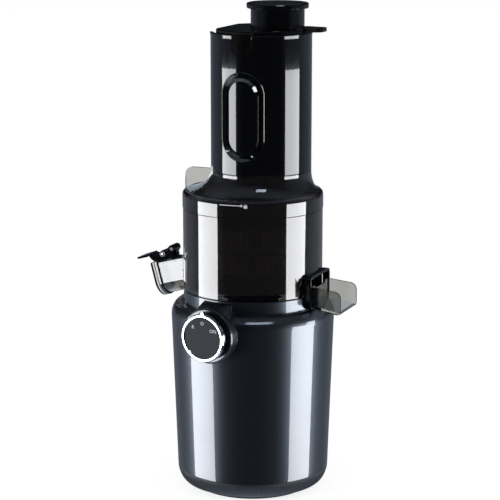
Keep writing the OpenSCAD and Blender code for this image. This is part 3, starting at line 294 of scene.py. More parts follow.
# %% [markdown]
# The floor is plain and pale and keeps the shadow. Its own glow, which only the camera sees, directly or
# through clear plastic, lets it run into the white behind it. Reflections don't see the floor at all.

# %% Floor
FLOOR_HALF = 14.0
FLOOR_GLOW = 0.80
FLOOR_COLOUR = (0.80, 0.80, 0.80, 1)

corners = [(-FLOOR_HALF, -FLOOR_HALF, 0), (FLOOR_HALF, -FLOOR_HALF, 0),
           (FLOOR_HALF, FLOOR_HALF, 0), (-FLOOR_HALF, FLOOR_HALF, 0)]
floor_mesh = bpy.data.meshes.new("floor")
floor_mesh.from_pydata(corners, [], [(0, 1, 2, 3)])
floor = bpy.data.objects.new("floor", floor_mesh)
bpy.context.scene.collection.objects.link(floor)
floor.visible_glossy = False
floor.visible_shadow = False
floor_finish = bpy.data.materials.new("pale_floor")
floor_finish.use_nodes = True
f = floor_finish.node_tree
f.nodes.clear()
matt = add(f, "ShaderNodeBsdfDiffuse")
matt.inputs["Color"].default_value = FLOOR_COLOUR
glow = add(f, "ShaderNodeEmission")
path = add(f, "ShaderNodeLightPath")
seen = maths(f, "ADD", path.outputs["Is Camera Ray"], path.outputs["Is Transmission Ray"], clamp=True)
join(f, maths(f, "MULTIPLY", seen, FLOOR_GLOW), glow.inputs["Strength"])
matt_and_glow = add(f, "ShaderNodeAddShader")
join(f, matt.outputs[0], matt_and_glow.inputs[0])
join(f, glow.outputs[0], matt_and_glow.inputs[1])
out = add(f, "ShaderNodeOutputMaterial")
join(f, matt_and_glow.outputs[0], out.inputs["Surface"])
floor_mesh.materials.append(floor_finish)
bpy.context.scene.view_settings.view_transform = "Standard"
print("floor", 2 * FLOOR_HALF, "m wide")

# %% [markdown]
# ## Finishes
#
# A moulded plastic is never quite even: the mould leaves a faint waviness in the gloss and the surface
# picks up soft smears. Such effects are small node groups, built once and shared by many finishes, each
# with values of its own. They read Object coordinates, so the pattern sits still on the piece.

# %% Helpers for shared effects
def group(name, inputs, outputs):
    """An empty shader group with float inputs {name: default} and named outputs."""
    tree = bpy.data.node_groups.new(name, "ShaderNodeTree")
    for key, value in inputs.items():
        socket = tree.interface.new_socket(key, in_out="INPUT", socket_type="NodeSocketFloat")
        socket.default_value = value
    for key, kind in outputs.items():
        tree.interface.new_socket(key, in_out="OUTPUT", socket_type=kind)
    return tree, add(tree, "NodeGroupInput"), add(tree, "NodeGroupOutput")


def noise(tree, coords, scale, detail=3.0, rough=0.5):
    """A Noise texture's value; the scale is a socket or a number."""
    node = add(tree, "ShaderNodeTexNoise")
    join(tree, coords, node.inputs["Vector"])
    if isinstance(scale, (int, float)):
        node.inputs["Scale"].default_value = scale
    else:
        join(tree, scale, node.inputs["Scale"])
    node.inputs["Detail"].default_value = detail
    node.inputs["Roughness"].default_value = rough
    return node.outputs[0]


print("group helpers ready")

# %% [markdown]
# Three effects are enough. Moulded has a faint waviness for the bump and soft smears for the roughness.
# Grain has the fine pits of a rubber or matt moulding. Turned has the fine rings that a lathe or a draw
# die leaves, so its noise is drawn out along X and Y.

# %% Three surface effects
FLOAT = "NodeSocketFloat"
SMEAR_FROM, SMEAR_TO = 0.42, 0.72
SHADE_FROM, SHADE_TO = 0.3, 0.7
TURNED_STRETCH = (0.02, 0.02, 1.0)

moulded, gi, go = group("moulded", {"Wave size": 60.0, "Smear size": 25.0, "Even": 0.06, "Smeared": 0.11},
                        {"Height": FLOAT, "Roughness": FLOAT, "Shade": FLOAT})
coords = add(moulded, "ShaderNodeTexCoord").outputs["Object"]
join(moulded, noise(moulded, coords, gi.outputs["Wave size"], detail=2.0), go.inputs["Height"])
smear = noise(moulded, coords, gi.outputs["Smear size"], detail=5.0, rough=0.6)
smeared = ramp(moulded, smear, SMEAR_FROM, SMEAR_TO, gi.outputs["Even"], gi.outputs["Smeared"])
join(moulded, smeared, go.inputs["Roughness"])
join(moulded, ramp(moulded, smear, SHADE_FROM, SHADE_TO, 0.0, 1.0), go.inputs["Shade"])

grain, gi, go = group("grain", {"Pit size": 900.0}, {"Height": FLOAT})
coords = add(grain, "ShaderNodeTexCoord").outputs["Object"]
pits = noise(grain, coords, gi.outputs["Pit size"], detail=4.0, rough=0.65)
join(grain, pits, go.inputs["Height"])

turned, gi, go = group("turned", {"Ring size": 2500.0}, {"Height": FLOAT, "Shade": FLOAT})
coords = add(turned, "ShaderNodeTexCoord").outputs["Object"]
stretch = add(turned, "ShaderNodeMapping")
stretch.inputs["Scale"].default_value = TURNED_STRETCH
join(turned, coords, stretch.inputs["Vector"])
rings = noise(turned, stretch.outputs[0], gi.outputs["Ring size"], detail=3.0)
join(turned, rings, go.inputs["Height"])
join(turned, ramp(turned, rings, SHADE_FROM, SHADE_TO, 0.0, 1.0), go.inputs["Shade"])
print("groups", [g.name for g in bpy.data.node_groups])

# %% [markdown]
# Every finish here is a Principled shader, and one function builds it from a handful of values. Three
# of the gloss finishes also use a small Bevel of the shading normal: it rounds hard edges, so that they
# catch a thin line of light as a moulded edge does.

# %% A finish from its values
def finish(name, colour, dark=None, metallic=0.0, specular=0.5, coat=0.0, coat_rough=0.03, bump=0.0,
           group_tree=None, group_values=None, rough=None, clear=None, ior=1.5, coat_ior=1.5, edge=0.0):
    """A Principled finish: the group's Shade mixes colour and dark, and its Height makes the bump."""
    made = bpy.data.materials.new(name)
    made.use_nodes = True
    tree = made.node_tree
    shader = tree.nodes["Principled BSDF"]
    shader.inputs["Base Color"].default_value = (*colour, 1)
    shader.inputs["Metallic"].default_value = metallic
    shader.inputs["Specular IOR Level"].default_value = specular
    shader.inputs["IOR"].default_value = ior
    shader.inputs["Coat Weight"].default_value = coat
    shader.inputs["Coat Roughness"].default_value = coat_rough
    shader.inputs["Coat IOR"].default_value = coat_ior
    if rough is not None:
        shader.inputs["Roughness"].default_value = rough
    if clear is not None:
        shader.inputs["Transmission Weight"].default_value = clear
    if group_tree:
        effect = add(tree, "ShaderNodeGroup", node_tree=group_tree)
        for key, value in (group_values or {}).items():
            effect.inputs[key].default_value = value
        if "Roughness" in effect.outputs and rough is None:
            join(tree, effect.outputs["Roughness"], shader.inputs["Roughness"])
        if dark and "Shade" in effect.outputs:
            mix = add(tree, "ShaderNodeMix", data_type="RGBA")
            join(tree, effect.outputs["Shade"], mix.inputs["Factor"])
            mix.inputs[6].default_value = (*colour, 1)
            mix.inputs[7].default_value = (*dark, 1)
            join(tree, mix.outputs[2], shader.inputs["Base Color"])
        if bump:
            lump = add(tree, "ShaderNodeBump")
            lump.inputs["Strength"].default_value = 1.0
            lump.inputs["Distance"].default_value = bump
            join(tree, effect.outputs["Height"], lump.inputs["Height"])
            join(tree, lump.outputs[0], shader.inputs["Normal"])
    if edge:
        worn = add(tree, "ShaderNodeBevel", samples=4)
        worn.inputs["Radius"].default_value = edge
        target = lump.inputs["Normal"] if group_tree and bump else shader.inputs["Normal"]
        join(tree, worn.outputs[0], target)
        if coat:
            join(tree, worn.outputs[0], shader.inputs["Coat Normal"])
    return made


print("finish helper ready")

# %% [markdown]
# The base is a dark metallic slate under a clear coat. The knob, the tube, the pusher and the small
# parts at the spout and the outlet are gloss black, the knob's ring is chrome and the dial a dull
# blue-black. Inside are steel, brass, copper, nylon, rubber and a dull dark plastic for the auger.

# %% Opaque finishes
BLACK, BLACK_SMEAR = (0.0016, 0.0018, 0.0024), (0.0024, 0.0026, 0.0032)
PALE_RUBBER = (0.80, 0.81, 0.84)

finishes = {
    "slate_gloss": finish("slate_gloss", (0.050, 0.060, 0.074), (0.044, 0.053, 0.066), metallic=0.85,
                          coat=1.0, coat_rough=0.02, coat_ior=1.56, bump=0.00001, group_tree=moulded,
                          edge=0.0005, group_values={"Even": 0.33, "Smeared": 0.35}),
    "slate_matte": finish("slate_matte", (0.036, 0.042, 0.052), (0.030, 0.036, 0.045), bump=0.00003,
                          group_tree=moulded, group_values={"Even": 0.45, "Smeared": 0.55}),
    "black_gloss": finish("black_gloss", BLACK, BLACK_SMEAR, specular=0.15,
                          coat=1.0, coat_rough=0.015, bump=0.00001, group_tree=moulded, edge=0.0005,
                          group_values={"Even": 0.07, "Smeared": 0.11}),
    "tube_gloss": finish("tube_gloss", BLACK, BLACK_SMEAR, specular=0.15,
                         coat=1.0, coat_rough=0.015, bump=0.00001, group_tree=moulded, edge=0.0011,
                         group_values={"Even": 0.07, "Smeared": 0.11}),
    "auger_plastic": finish("auger_plastic", (0.020, 0.021, 0.023), (0.026, 0.027, 0.030), bump=0.00002,
                            group_tree=moulded, group_values={"Even": 0.30, "Smeared": 0.40}),
    "rubber": finish("rubber", (0.018, 0.018, 0.019), rough=0.75, bump=0.00004, group_tree=grain),
    "dial": finish("dial", (0.008, 0.015, 0.023), (0.006, 0.012, 0.019), specular=0.12, bump=0.00001,
                   group_tree=moulded, group_values={"Even": 0.36, "Smeared": 0.42}),
    "silicone": finish("silicone", PALE_RUBBER, (0.74, 0.75, 0.78), rough=0.40, bump=0.00002,
                       group_tree=moulded),
    "print": finish("print", (0.74, 0.76, 0.78), (0.68, 0.70, 0.72), specular=0.3, group_tree=moulded,
                    group_values={"Even": 0.45, "Smeared": 0.55}),
    "chrome": finish("chrome", (0.86, 0.87, 0.89), (0.80, 0.81, 0.84), metallic=1.0, bump=0.000003,
                     group_tree=moulded, group_values={"Even": 0.07, "Smeared": 0.12}),
    "steel": finish("steel", (0.52, 0.52, 0.53), (0.42, 0.42, 0.43), metallic=1.0, rough=0.30, bump=0.00001,
                    group_tree=turned),
    "dark_steel": finish("dark_steel", (0.13, 0.13, 0.135), (0.10, 0.10, 0.105), metallic=1.0, rough=0.35,
                         bump=0.00001, group_tree=turned),
    "brass": finish("brass", (0.72, 0.50, 0.20), (0.62, 0.42, 0.16), metallic=1.0, rough=0.28, bump=0.00001,
                    group_tree=turned),
    "copper": finish("copper", (0.62, 0.28, 0.14), (0.50, 0.20, 0.09), metallic=1.0, rough=0.32, bump=0.00003,
                     group_tree=turned),
    "nylon": finish("nylon", (0.60, 0.59, 0.55), (0.54, 0.53, 0.49), rough=0.42, bump=0.00003,
                    group_tree=grain),
}
print("finishes", sorted(finishes))

# %% [markdown]
# ## Smoke-tinted plastic
#
# The bowl and the lid are moulded in smoke-tinted clear plastic. One sheet of it, such as the fin or
# the chute, lets about half of the light through, but the bowl and the lid stand in front of black
# parts and look almost black. A clear shader tints the light where it passes the surface, so each
# part gets its own depth of tint from where it lies on the piece. The deep tint of the bowl and the lid
# is painted shade: it makes the sheet itself as dark as the black parts behind it look. Masks on Object
# coordinates say where.

# %% Masks on a piece
def within(tree, value, limit, soft, below=True):
    """1 where value is below (or above) a limit, with a soft edge."""
    return ramp(tree, value, limit - soft, limit + soft, 1.0 if below else 0.0, 0.0 if below else 1.0)


def both(tree, *masks):
    """1 only where every mask is 1."""
    result = masks[0]
    for mask in masks[1:]:
        result = maths(tree, "MULTIPLY", result, mask)
    return result


def along(tree, coords, axis, origin):
    """How far a point lies along an axis from an origin."""
    node = add(tree, "ShaderNodeVectorMath", operation="DOT_PRODUCT")
    join(tree, coords, node.inputs[0])
    node.inputs[1].default_value = axis
    return maths(tree, "SUBTRACT", node.outputs["Value"], Vector(axis).dot(origin))


def blend_colours(tree, mask, first, second):
    """first where the mask is 0, second where it is 1; each is a colour or a socket."""
    mix = add(tree, "ShaderNodeMix", data_type="RGBA")
    join(tree, mask, mix.inputs["Factor"])
    for socket, colour in ((mix.inputs[6], first), (mix.inputs[7], second)):
        if isinstance(colour, tuple):
            socket.default_value = (*colour, 1)
        else:
            join(tree, colour, socket)
    return mix.outputs[2]


def paint(tree, colour):
    """Gives the finish a colour that changes over the piece."""
    join(tree, colour, tree.nodes["Principled BSDF"].inputs["Base Color"])


def where(tree):
    """The point's Object coordinates, and their x, y and z."""
    coords = add(tree, "ShaderNodeTexCoord").outputs["Object"]
    parts = add(tree, "ShaderNodeSeparateXYZ")
    join(tree, coords, parts.inputs[0])
    return coords, parts.outputs


print("masks ready")

# %% [markdown]
# A moulding's flat sides lean, so that it leaves its mould. The solids have them upright, but the lean
# decides which part of the room a flat side mirrors, so it is put into the shading. Both values stand
# for more degrees than a moulding's usual draft.

# %% Clear plastic and the lean of its sides
def clear_plastic(name, colour, rough=0.035):
    """Clear plastic, its tree, the point's coordinates and their x, y and z."""
    made = finish(name, colour, rough=rough, clear=1.0, ior=1.50, coat=1.0, coat_rough=0.015)
    return made, made.node_tree, *where(made.node_tree)


def lean(tree, mask, by):
    """Leans the shading normal by a vector as far as mask says."""
    normal = add(tree, "ShaderNodeNewGeometry").outputs["Normal"]
    move = add(tree, "ShaderNodeVectorMath", operation="SCALE")
    for socket, value in ((move.inputs[0], by), (move.inputs["Scale"], mask)):
        if isinstance(value, (tuple, float)):
            socket.default_value = value
        else:
            join(tree, value, socket)
    sum_of = add(tree, "ShaderNodeVectorMath", operation="ADD")
    join(tree, normal, sum_of.inputs[0])
    join(tree, move.outputs[0], sum_of.inputs[1])
    unit = add(tree, "ShaderNodeVectorMath", operation="NORMALIZE")
    join(tree, sum_of.outputs[0], unit.inputs[0])
    for socket in ("Normal", "Coat Normal"):
        join(tree, unit.outputs[0], tree.nodes["Principled BSDF"].inputs[socket])


DRAFT, FRAME_DRAFT = 0.20, 0.135
print("lean of the spout's sides", DRAFT, "and of the frame's", FRAME_DRAFT)

# %% [markdown]
# The lid is deep in tint, a painted shade for the dark parts behind it, but its handle fin is one thin
# sheet and pale. The fin is found by where it stands: near the middle plane, on the juice side and above
# the skirt, or outside the skirt.

# %% Tint of the lid
# The deep tint is painted shade: one sheet made as dark as the black parts behind it look.
SMOKE_DEEP_PAINTED_SHADE = (0.066, 0.057, 0.052)
SMOKE_FIN = (0.49, 0.495, 0.475)
FIN_HALF, FIN_X, FIN_RISE, FIN_PAST_SKIRT = 0.0016, -0.037, 0.0055, 0.0003
SHARP, SOFT, SOFTER = 0.0002, 0.0006, 0.001

made, tree, coords, (x, y, z) = clear_plastic("smoke_lid", SMOKE_DEEP_PAINTED_SHADE)
in_plane = within(tree, maths(tree, "ABSOLUTE", y), FIN_HALF, SHARP)
above_skirt = within(tree, z, lid_low + FIN_RISE, SOFT, below=False)
on_fin = both(tree, in_plane, within(tree, x, FIN_X, SOFT), above_skirt)
on_fin = maths(tree, "MAXIMUM", on_fin, within(tree, x, -lid_r - FIN_PAST_SKIRT, SHARP))
paint(tree, blend_colours(tree, on_fin, SMOKE_DEEP_PAINTED_SHADE, SMOKE_FIN))
finishes["smoke_lid"] = made
print("lid tint", SMOKE_DEEP_PAINTED_SHADE, "fin tint", SMOKE_FIN)

# %% [markdown]
# The bowl is deep too, with the same painted shade, but thin outside its round wall, where the spout and
# the small lug stand. The spout slopes down, so its masks are measured along it and across it. Its upper
# half gets a cool tint, a painted reflection of the pale room, and its lower half a warmer one, a painted
# shaded band. Its top edges and its lip get a near black tint, and its two flat sides lean.

# %% Tint of the bowl
# The spout's two tints are painted light and shade: cool above as a pale reflection, warmer below as a shaded
# band.
SMOKE_SPOUT_PAINTED_SHEEN, SMOKE_SPOUT_LOW_PAINTED_SHADE = (0.33, 0.33, 0.37), (0.34, 0.33, 0.30)
SMOKE_LUG, SMOKE_EDGE = (0.36, 0.34, 0.31), (0.004, 0.004, 0.005)
SPOUT_SLOPE = math.radians(15)
SPOUT_OUT = (-math.cos(SPOUT_SLOPE), 0, -math.sin(SPOUT_SLOPE))
SPOUT_UP = (-math.sin(SPOUT_SLOPE), 0, math.cos(SPOUT_SLOPE))
SPOUT_FOOT = Vector((-bowl_r, 0, 0.1899))
SPOUT_LEN, SPOUT_TOP, SPOUT_SIDE = 0.025, 0.0151, 0.0139
PAST_WALL, WALL_SOFT = 0.0021, 0.0003
SIDE_SKIN, TOP_EDGE, LIP_LEN, PAINTED_SHADE_BELOW = 0.0005, 0.0013, 0.0017, -0.0012

made, tree, coords, (x, y, z) = clear_plastic("smoke_bowl", SMOKE_DEEP_PAINTED_SHADE)
radius = maths(tree, "SQRT", maths(tree, "ADD", maths(tree, "MULTIPLY", x, x), maths(tree, "MULTIPLY", y, y)))
outside = within(tree, radius, bowl_r + PAST_WALL, WALL_SOFT, below=False)
up_spout = along(tree, coords, SPOUT_UP, SPOUT_FOOT)
out_spout = along(tree, coords, SPOUT_OUT, SPOUT_FOOT)
on_side = within(tree, maths(tree, "ABSOLUTE", y), SPOUT_SIDE - SIDE_SKIN, SHARP, below=False)
top_edge = both(tree, within(tree, up_spout, SPOUT_TOP - TOP_EDGE, SHARP, below=False), on_side)
lip = within(tree, out_spout, SPOUT_LEN - LIP_LEN, SHARP, below=False)
thin = blend_colours(tree, within(tree, up_spout, PAINTED_SHADE_BELOW, SOFTER), SMOKE_SPOUT_PAINTED_SHEEN, SMOKE_SPOUT_LOW_PAINTED_SHADE)
thin = blend_colours(tree, maths(tree, "MAXIMUM", top_edge, lip), thin, SMOKE_EDGE)
thin = blend_colours(tree, within(tree, x, 0, SOFTER, below=False), thin, SMOKE_LUG)
paint(tree, blend_colours(tree, outside, SMOKE_DEEP_PAINTED_SHADE, thin))
lean(tree, both(tree, on_side, outside, within(tree, x, 0, SOFTER)), (-DRAFT, 0, 0))
finishes["smoke_bowl"] = made
print("spout", SPOUT_LEN, "m long, down by", round(math.degrees(SPOUT_SLOPE)), "degrees")

# %% [markdown]
# The chute is one thin sheet, but against the outlet its tint is near black: painted shade for the
# bowl's dark wall behind it. The gate plate is a tinted sheet that lets little light through.

# %% Tint of the chute and the gate
SMOKE_CHUTE, SMOKE_CHUTE_PAINTED_SHADE = (0.40, 0.405, 0.385), (0.012, 0.013, 0.018)
CHUTE_SHADE_X, CHUTE_ROOT_SHADE_X = top("pulp_frame").x + 0.0004, top("pulp_frame").x + 0.0060
CHUTE_FRONT_Y = -0.015
ROOT_SOFT, FRONT_SOFT = 0.0012, 0.002

made, tree, coords, (x, y, z) = clear_plastic("smoke_chute", SMOKE_CHUTE, rough=0.05)
# Painted shade: near the frame, and on the front near the root, the chute's tint turns near black.
shaded_root = both(tree, within(tree, x, CHUTE_ROOT_SHADE_X, ROOT_SOFT), within(tree, y, CHUTE_FRONT_Y, FRONT_SOFT))
painted_shade_end = maths(tree, "MAXIMUM", within(tree, x, CHUTE_SHADE_X, WALL_SOFT), shaded_root)
paint(tree, blend_colours(tree, painted_shade_end, SMOKE_CHUTE, SMOKE_CHUTE_PAINTED_SHADE))
finishes["smoke_chute"] = made
finishes["gate_tint"] = finish("gate_tint", (0.020, 0.017, 0.015), rough=0.05, clear=0.85, ior=1.46)
print("chute deep to x", round(CHUTE_ROOT_SHADE_X, 4))

# %% [markdown]
# The frame round the outlet is gloss black, and its flat front side leans as the spout's sides do. The
# juice cap is gloss black too, with the pale gasket's rim let into its inner edge.

# %% Gloss black of the frame and the cap
FRAME_SKIN, FRAME_ROUND, FACE_SOFT = 0.0003, 0.006, 0.0001
CAP_INNER, RIM_WIDE = 0.0262, 0.0012
small_black = {"specular": 0.15, "coat": 1.0, "coat_rough": 0.015, "rough": 0.1}

finishes["frame_black"] = made = finish("frame_black", BLACK, **small_black)
tree = made.node_tree
x, y, z = where(tree)[1]
frame_low, frame_top = low("pulp_frame"), top("pulp_frame")
on_front = within(tree, y, frame_low.y + FRAME_SKIN, FACE_SOFT)
above_round = within(tree, z, frame_low.z + FRAME_ROUND, SHARP, below=False)
below_round = within(tree, z, frame_top.z - FRAME_ROUND, SHARP)
lean(tree, both(tree, on_front, above_round, below_round), (-FRAME_DRAFT, 0, 0))

finishes["cap_black"] = made = finish("cap_black", BLACK, **small_black)
tree = made.node_tree
coords = add(tree, "ShaderNodeTexCoord").outputs["Object"]
rim = within(tree, along(tree, coords, SPOUT_OUT, SPOUT_FOOT), CAP_INNER + RIM_WIDE, FACE_SOFT)
paint(tree, blend_colours(tree, rim, BLACK, PALE_RUBBER))
print("finishes in all", len(finishes))

# %% [markdown]
# Each solid names a material slot in the frame, and most take the finish of that name. A few need one
# of their own, because it changes over the piece or differs from the slot's.

# %% Give each solid its finish
OWN_FINISH = {"lid": "smoke_lid", "bowl": "smoke_bowl", "pulp_chute": "smoke_chute",
              "feed_tube": "tube_gloss", "cap_gasket": "silicone", "juice_cap": "cap_black",
              "pulp_frame": "frame_black", "hinge_pin": "dark_steel"}
for name, solid in nodes.items():
    chosen = finishes[OWN_FINISH.get(name) or slot_of[name]]
    solid.data.materials.clear()
    solid.data.materials.append(chosen)
print("dressed", len(nodes), "solids")

# %% [markdown]
# ## Marks
#
# A control knob needs its positions: R for reverse, O for off and ON. They are printed on the fixed
# dial in light grey. They are thin prints, so they are flat shapes laid a hair above the surface. The
# letters are made as text, turned to mesh and then laid onto the dial. These helpers do that, and piece
# adds every fine piece of this notebook to the body that it rides on.

# %% Helpers for fine pieces and prints
PRINT_LIFT = 0.00006


def piece(name, mesh, body, chosen):
    """A finished mesh as an object at the origin, riding on a body."""
    made = bpy.data.objects.new(name, mesh)
    bpy.context.scene.collection.objects.link(made)
    mesh.materials.clear()
    mesh.materials.append(chosen)
    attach(made, body)
    return made


def letters(text, height):
    """Vertices and faces of a word, centred, in its own plane."""
    curve = bpy.data.curves.new("word", "FONT")
    curve.body, curve.size = text, height
    curve.align_x, curve.align_y = "CENTER", "CENTER"
    holder = bpy.data.objects.new("word", curve)
    mesh = bpy.data.meshes.new_from_object(holder)
    bpy.data.objects.remove(holder)
    return mesh


def laid(mesh, place):
    """The mesh with each point moved to where place(x, y) says."""
    for v in mesh.vertices:
        v.co = place(v.co.x, v.co.y)
    mesh.update()
    return mesh


print("print lift", PRINT_LIFT)

# %% [markdown]
# Each mark stands on a circle round the dial's middle, at its own turn from the top.

# %% Marks on the dial
across = Vector((math.cos(BASE_TURN), math.sin(BASE_TURN), 0))
outward = Vector((math.sin(BASE_TURN), -math.cos(BASE_TURN), 0))
up = Vector((0, 0, 1))
reach = max(v.co.dot(outward) for v in nodes["dial_face"].data.vertices)
dial_middle = outward * (reach + PRINT_LIFT) + up * knob_z
MARK_R = 0.0130
MARK_H = 0.0042
MARK_TURNS = {"R": 47, "O": 0, "ON": -56}
for text, turn in MARK_TURNS.items():
    a = math.radians(turn)
    spot = dial_middle - across * math.sin(a) * MARK_R + up * math.cos(a) * MARK_R
    word = laid(letters(text, MARK_H), lambda x, y: spot + across * x + up * y)
    piece("dial_mark_" + text, word, "base", finishes["print"])
print("dial marks at", round(reach, 4), "m from the axis")

# %% [markdown]
# The lid's skirt carries the usual closing marks: a line along the turn, a dot and a small padlock. They
# are drawn flat, with x along the skirt, and each point is then put on the round skirt. The long line
# is cut into short faces, so that it follows the curve.

# %% Closing marks on the lid
LINE_FROM, LINE_TO = -4.0, 14.0
LINE_H, DOT_R = 0.0007, 0.0011
MARK_Z = 0.2672
LOCK_AT = 17.4
LOCK_HALF, LOCK_LOW, LOCK_HIGH = 0.0016, -0.0022, 0.0002
SHACKLE_IN, SHACKLE_OUT, SHACKLE_STEPS = 0.0008, 0.00125, 12


def on_skirt(turn, z):
    """A point a hair outside the lid's skirt, turned from the front towards the pulp side."""
    a = math.radians(turn)
    reach = lid_r + PRINT_LIFT
    return Vector((math.sin(a) * reach, -math.cos(a) * reach, z))


def flat_mesh(name, loops, place):
    """Filled outlines, each a list of (x, y) points, laid by place(x, y)."""
    made = bmesh.new()
    for loop in loops:
        made.faces.new([made.verts.new(place(x, y)) for x, y in loop])
    mesh = bpy.data.meshes.new(name)
    made.to_mesh(mesh)
    made.free()
    return mesh


def disc(x, y, r, n=20):
    """A round outline about (x, y)."""
    return [(x + r * math.cos(2 * math.pi * k / n), y + r * math.sin(2 * math.pi * k / n)) for k in range(n)]


def bar(x0, x1, y0, y1, n=12):
    """Short faces side by side, so that the bar can follow a curve."""
    step = (x1 - x0) / n
    return [[(x0 + k * step, y0), (x0 + (k + 1) * step, y0), (x0 + (k + 1) * step, y1), (x0 + k * step, y1)]
            for k in range(n)]


def on_shackle(k, r):
    """The k-th point of the padlock's shackle, at radius r."""
    a = math.pi * k / SHACKLE_STEPS
    return r * math.cos(a), r * math.sin(a)


degree = math.radians(1) * lid_r
arch = [[on_shackle(k, SHACKLE_IN), on_shackle(k, SHACKLE_OUT), on_shackle(k + 1, SHACKLE_OUT),
         on_shackle(k + 1, SHACKLE_IN)] for k in range(SHACKLE_STEPS)]
lock = bar(-LOCK_HALF, LOCK_HALF, LOCK_LOW, LOCK_HIGH, 3) + arch
line = bar(LINE_FROM * degree, LINE_TO * degree, -LINE_H / 2, LINE_H / 2, 24)
closing = line + [disc(LINE_TO * degree, 0, DOT_R)]
closing += [[(x + LOCK_AT * degree, y) for x, y in outline] for outline in lock]
marks = flat_mesh("closing_mark", closing, lambda x, y: on_skirt(x / degree, MARK_Z + y))
piece("closing_mark", marks, "hopper", finishes["print"])
print("closing mark of", len(closing), "faces")

# %% [markdown]
# ## Channel of the oval window
#
# The feed tube's front carries an oval recess. Its wall slopes inwards all round, so each side of it
# mirrors another part of the room. Two narrow bands lie in and beside the channel of the solid, and
# their shading leans inwards as the wall does. The path of the oval is two half circles and two
# straight sides, and each point also says which way is outwards.

# %% Path of the oval
OVAL_HALF, OVAL_LOW, OVAL_HIGH = 0.0170, 0.3217, 0.3598
ARC_STEPS, SIDE_STEPS = 48, 24


def on_tube(u, z, depth):
    """A point u to the right on the tube's front, sunk by depth."""
    turn = math.asin(u / tube_r)
    reach = tube_r - depth
    return Vector((tube_x + math.sin(turn) * reach, -math.cos(turn) * reach, z))


def oval_path():
    """Centre points of the oval with their outward directions, once round."""
    result = []
    for middle, start in ((OVAL_HIGH, 0), (OVAL_LOW, math.pi)):
        for k in range(ARC_STEPS):
            a = start + math.pi * k / ARC_STEPS
            across, rise = math.cos(a), math.sin(a)
            result.append((OVAL_HALF * across, middle + OVAL_HALF * rise, across, rise))
        side = -1 if start == 0 else 1
        for k in range(SIDE_STEPS):
            along_side = side * (OVAL_HIGH - OVAL_LOW) * k / SIDE_STEPS
            result.append((side * OVAL_HALF, middle + along_side, side, 0))
    return result


print("oval path of", len(oval_path()), "points")

# %% [markdown]
# Two helpers make smooth skins: one lays faces between rows of points, and one turns a small round
# shape from its profile. The bands, the moulding point and the eyelets below all use them.

# %% Smooth skins
def skin(name, rings, closed):
    """Smooth faces between rows of points."""
    made = bmesh.new()
    rows = [[made.verts.new(p) for p in ring] for ring in rings]
    for row, after in zip(rows, rows[1:] + (rows[:1] if closed else [])):
        for k in range(len(row) - 1):
            made.faces.new((row[k], row[k + 1], after[k + 1], after[k])).smooth = True
    bmesh.ops.remove_doubles(made, verts=made.verts, dist=1e-7)
    mesh = bpy.data.meshes.new(name)
    made.to_mesh(mesh)
    made.free()
    return mesh


def turned_face(name, profile, place, steps=24):
    """A round low shape from (radius, height) points; place(x, y, height) says where they go."""
    rings = []
    for j in range(steps):
        a = math.tau * j / steps
        rings.append([place(r * math.cos(a), r * math.sin(a), h) for r, h in profile])
    return skin(name, rings, True)


print("skin helpers ready")

# %% [markdown]
# A band is a few points across its width, each with its distance outwards from the path and its depth
# below the tube's surface, where a negative depth stands proud. The gloss of the bands leans towards
# the oval's middle line: all round on the wall, but only on the left and round the top on the lip.

# %% Bands of the oval
BANDS = {"oval_lip": [(-0.0052, 0.00002), (-0.0047, -0.00004), (-0.0023, -0.00005)],
         "oval_wall": [(-0.0022, 0.0010), (0.0012, 0.0005), (0.0022, 0.0001), (0.0026, -0.00004)]}
CHANNEL_LEAN = 0.60
LIP_IOR, WALL_IOR = 1.8, 2.3
LIP_TO_X, WALL_TO_X = tube_x - 0.004, tube_x + 0.100
TOP_RISE, LEAN_SOFT = 0.003, 0.002


def leaning_gloss(name, coat_ior, side_x):
    """Gloss black whose shading leans to the oval's middle line, up to side_x and round the top."""
    made = finish(name, BLACK, coat_ior=coat_ior, **small_black)
    tree = made.node_tree
    x, y, z = where(tree)[1]
    height = maths(tree, "MINIMUM", maths(tree, "MAXIMUM", z, OVAL_LOW), OVAL_HIGH)
    inward = add(tree, "ShaderNodeCombineXYZ")
    join(tree, maths(tree, "SUBTRACT", tube_x, x), inward.inputs["X"])
    join(tree, maths(tree, "SUBTRACT", height, z), inward.inputs["Z"])
    unit = add(tree, "ShaderNodeVectorMath", operation="NORMALIZE")
    join(tree, inward.outputs[0], unit.inputs[0])
    round_top = within(tree, z, OVAL_HIGH + TOP_RISE, LEAN_SOFT, below=False)
    sloped = maths(tree, "MAXIMUM", within(tree, x, side_x, LEAN_SOFT), round_top)
    lean(tree, maths(tree, "MULTIPLY", sloped, CHANNEL_LEAN), unit.outputs[0])
    return made


BAND_FINISH = {"oval_lip": leaning_gloss("lip_gloss", LIP_IOR, LIP_TO_X),
               "oval_wall": leaning_gloss("wall_gloss", WALL_IOR, WALL_TO_X)}
for name, band in BANDS.items():
    rows = [[on_tube(u + du * o, z + dz * o, depth) for o, depth in band] for u, z, du, dz in oval_path()]
    piece(name, skin(name, rows, True), "hopper", BAND_FINISH[name])
print("bands", sorted(BANDS), "round", len(rows), "points")

# %% [markdown]
# Below the oval sits a small moulding point, such as plastic leaves where it runs into a mould. It is
# made as a low dome.

# %% Moulding point
POINT_X, POINT_Z = 0.0097, 0.3074
POINT_R, POINT_PROUD = 0.0007, 0.0004


def on_point(x, y, h):
    return on_tube(POINT_X + x, POINT_Z + y, -h)


dome = [(POINT_R * math.sin(a), POINT_PROUD * math.cos(a)) for a in (0.0, 0.5, 1.0, math.pi / 2)]
point = turned_face("moulding_point", dome, on_point)
piece("moulding_point", point, "hopper", finishes["print"])
print("moulding point of", len(point.polygons), "faces")

